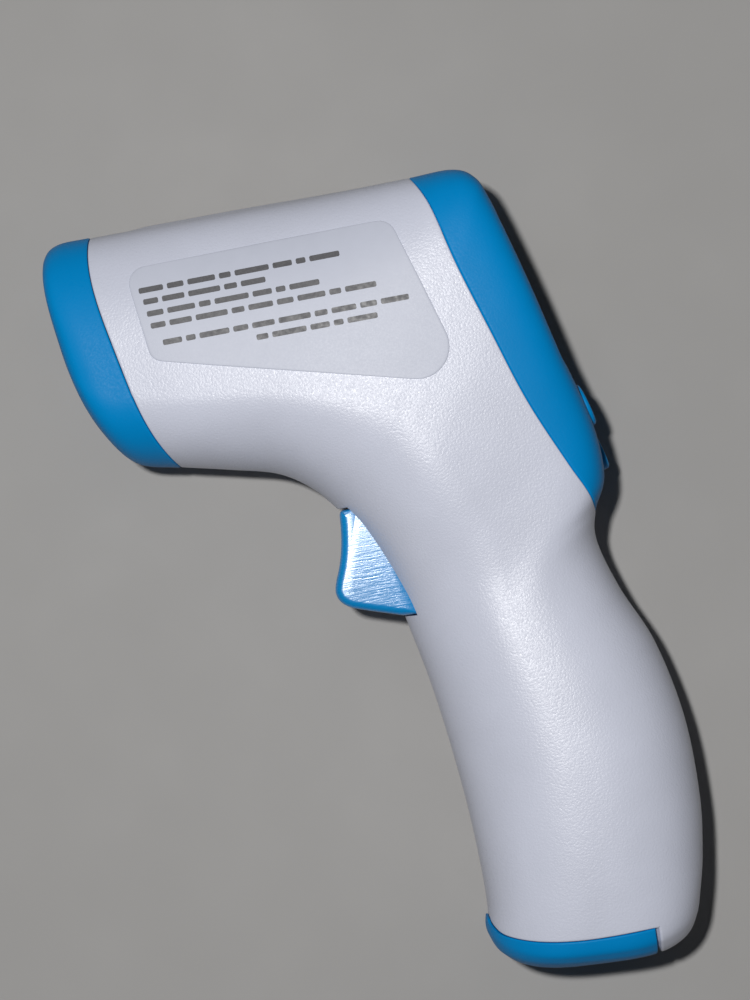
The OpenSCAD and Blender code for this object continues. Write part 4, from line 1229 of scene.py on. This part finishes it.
def on_left_side(xy, proud):
    """Points on the left side of the casing at these places, lifted by proud along the surface's normal."""
    out = []
    for (x, y), h in zip(xy, np.broadcast_to(proud, (len(xy),))):
        hit, normal = left_tree.ray_cast(Vector((x, y, RAY_START)), Vector((0, 0, -1)))[:2]
        normal = normal if normal.z > 0 else -normal
        out.append(hit + normal * float(h))
    return np.array(out)


def circle_points(count):
    a = np.linspace(0, 2 * math.pi, count, endpoint=False)
    return np.column_stack([np.cos(a), np.sin(a)])


def label_outline():
    """Middle of the label, and from it the outline of the hull of the corner circles."""
    corners = np.array(LABEL_CORNERS)
    middle, directions, normals = corners[:, :2].mean(0), circle_points(220), circle_points(720)
    reach = ((corners[:, :2] - middle) @ normals.T + corners[:, 2:]).max(0)
    facing = directions @ normals.T
    radius = np.where(facing > 0.05, reach / np.maximum(facing, 1e-6), np.inf).min(1)
    return middle, directions * radius[:, None]


def label_film():
    middle, spokes = label_outline()
    size = np.linalg.norm(spokes, axis=1, keepdims=True)
    centre = [spokes * 0]
    inside = [spokes * (1 - s / 14.0) for s in range(13, 0, -1)]
    edge = [spokes * (1 - back / size) for back, _ in LABEL_EDGE]
    heights = [LABEL_T] * (1 + len(inside)) + [LABEL_T + lower for _, lower in LABEL_EDGE]
    rings = centre + inside + edge
    top = [on_left_side(middle + ring, h) for ring, h in zip(rings, heights)]
    under = [on_left_side(middle + ring, SUNK) for ring in rings[::-1]]
    return ring_form("label_film", np.concatenate(top + under), len(spokes), False)


# Rows of plain bars in place of the wording: [y, start x, end x] of each row, the bars' height and corners
PRINT_ROWS = [[63.4, -34.0, 3.9], [61.2, -33.5, -10.2], [58.9, -33.2, -0.2], [56.6, -32.9, 9.4],
              [53.2, -31.2, 15.2], [50.9, -14.0, 10.0]]
BAR_HEIGHT = 1.05
BAR_CORNER = 0.2
BAR_LENGTHS = [4.6, 3.1, 5.2, 2.2, 6.4, 3.6, 1.8, 5.6, 2.8, 4.2, 6.0, 2.4]
BAR_SPACE = 0.75


def printed_bars():
    bars, turn = [], 0
    for y, x, end in PRINT_ROWS:
        while x < end - 1.0:
            stop = min(x + BAR_LENGTHS[turn % len(BAR_LENGTHS)], end)
            turn += 1
            inside = np.linspace(x + BAR_CORNER, stop - BAR_CORNER, max(int(stop - x), 1) + 1)
            xs = np.concatenate([[x], inside, [stop]])
            half = np.full(len(xs), BAR_HEIGHT / 2)
            half[[0, -1]] -= BAR_CORNER
            # Four edges along the bar, as rings of four points across it
            edges = [on_left_side(np.column_stack([xs, y + side * half]), LABEL_T + h)
                     for side, h in ((-1, 0.015), (1, 0.015), (1, -0.03), (-1, -0.03))]
            bars.append(ring_form("bar", np.stack(edges, 1).reshape(-1, 3), 4))
            x = stop + BAR_SPACE
    return join("label_print", *bars)


label = label_film()
printing = printed_bars()

# ---- Finishes, and the bodies that the pieces ride on ----
# Piece, material, body, slot, and the CAD nodes that it replaces
FINISHES = [
    (left, white_shell, CASING, "shell_white", "left_shell"),
    (right, white_shell, CASING, "shell_white", "right_shell"),
    (nose, blue_shell, CASING, "accent_blue", "nose_cap"),
    (bezel, blue_shell, CASING, "accent_blue", "rear_bezel"),
    (door, blue_shell, "battery_door", "accent_blue", "battery_door"),
    (hinge_pins, steel, "battery_door", "spring_steel", "door_pins"),
    (trigger, blue_trigger, "trigger", "accent_blue", "trigger"),
    (case_screws, steel, CASING, "spring_steel", "case_screws"),
    (board_screws, steel, CASING, "spring_steel", "board_screws"),
    (lens, glass, CASING, "window_smoke", "display_window"),
    (border, black_plastic, CASING, "window_smoke"),
    (segments, segment, CASING, "lcd_glass"),
]
for n in KEYS:
    body = n.replace("_key", "_button")
    FINISHES += [(caps[n], key_plastic, body, "accent_blue", n), (marks[n], white_shell, body, "shell_white")]
FINISHES += [
    (cone, black_plastic, CASING, "sensor_black", "sensor_cone"),
    (filter_window, infrared, CASING, "filter_dark", "sensor_window"),
    (sensor_can, nickel, CASING, "nickel", "sensor_can"),
    (trigger_coil, steel, CASING, "spring_steel", "trigger_spring"),
    (upper_coil, steel, CASING, "spring_steel", "upper_spring"),
    (door_coil, steel, "battery_door", "spring_steel", "door_spring"),
]
for n, (can_body, foil, band) in (("front_cell", front_cell), ("rear_cell", rear_cell)):
    FINISHES += [(can_body, nickel, CASING, "nickel", n), (foil, cell_foil, CASING, "cell_sleeve"),
                 (band, cell_band, CASING, "cell_sleeve")]
for n, look, slot in (("red_lead", red_wire, "wire_red"), ("black_lead", black_wire, "wire_black"),
                      ("trigger_lead", yellow_wire, "wire_yellow"), ("sensor_lead", sleeve, "wire_grey")):
    FINISHES.append((wire_pieces[n], look, CASING, slot, n))
FINISHES += [(label, film, CASING, "label_film", "rating_label"), (printing, ink, CASING, "label_film")]
for row in FINISHES:
    finish_piece(*row)
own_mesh(trigger_coil)

# Materials of the CAD nodes that stay
CAD_LOOKS = {
    lcd: ["lcd_panel"], tray_plastic: ["lcd_tray"], zebra: ["contact_strips"], ceramic: ["board_parts"],
    board: ["main_board", "trigger_board", "sensor_board"], aluminium: ["sensor_collar"],
    switch_plastic: ["key_switches", "trigger_switch"], holder_plastic: ["battery_holder"],
    black_plastic: ["controller_chip", "buzzer", "mode_plunger", "up_plunger", "down_plunger",
                    "trigger_plunger"],
    nickel: ["upper_contacts", "door_contact"],
}
for look, nodes in CAD_LOOKS.items():
    for n in nodes:
        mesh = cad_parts[n].data
        mesh.materials.clear()
        mesh.materials.append(look)

# ---- Floor, light and camera ----
def floor_look():
    look = Look("floor", (0.38, 0.375, 0.37), 0.7)
    look.vary(look.noise(0.004, 3.0), (0.375, 0.37, 0.365), (0.39, 0.385, 0.38))
    look.gloss(look.noise(0.05), 0.7, 0.85)
    return look.m


FLOOR_HALF = 1.5
floor_mesh = bpy.data.meshes.new("floor")
corners = [(x * FLOOR_HALF, y * FLOOR_HALF, 0) for x, y in ((-1, -1), (1, -1), (1, 1), (-1, 1))]
floor_mesh.from_pydata(corners, [], [(0, 1, 2, 3)])
floor_mesh.materials.append(floor_look())
link("floor", floor_mesh)

world = bpy.data.worlds.new("studio")
world.use_nodes = True
background = world.node_tree.nodes["Background"].inputs
background["Color"].default_value = (0.93, 0.96, 1.0, 1)
background["Strength"].default_value = 0.04
bpy.context.scene.world = world

# The camera looks straight down at this point (mm in the row frame), turned a little. Its picture is
# 190 mm tall in the parting plane.
VIEW_AT = np.array([1.57, 17.5])
VIEW_HEIGHT = 600.0
VIEW_TURN = math.radians(10.4)
HALF_VIEW = math.atan(95 / (VIEW_HEIGHT + FLAT_Z))


def area_light(name, energy, size, at, colour):
    """Area light at a place in mm, seen from the middle of the object and square with the camera's frame."""
    data = bpy.data.lights.new(name, "AREA")
    data.energy, data.size, data.color = energy, size * MM, colour
    o = link(name, data)
    right = np.array([math.cos(VIEW_TURN), -math.sin(VIEW_TURN)])
    up = np.array([math.sin(VIEW_TURN), math.cos(VIEW_TURN)])
    xy = VIEW_AT + right * at[0] + up * at[1]
    o.location = Vector((*xy, at[2])) * MM
    target = Vector((*VIEW_AT, 20.0)) * MM
    o.rotation_euler = (target - o.location).to_track_quat("-Z", "Y").to_euler()


area_light("key", 3.05, 24, (-70, 48, 640), (1.0, 0.99, 0.975))
area_light("fill", 0.1, 500, (-420, 300, 620), (0.95, 0.97, 1.0))

camera_data = bpy.data.cameras.new("camera")
camera_data.sensor_fit = "VERTICAL"
camera_data.angle = 2 * HALF_VIEW
camera_data.clip_start, camera_data.clip_end = 0.01, 10
camera = link("camera", camera_data)
camera.location = Vector((*VIEW_AT, VIEW_HEIGHT)) * MM
camera.rotation_euler = (0, 0, -VIEW_TURN)
bpy.context.scene.camera = camera
bpy.context.scene.view_settings.view_transform = "Standard"
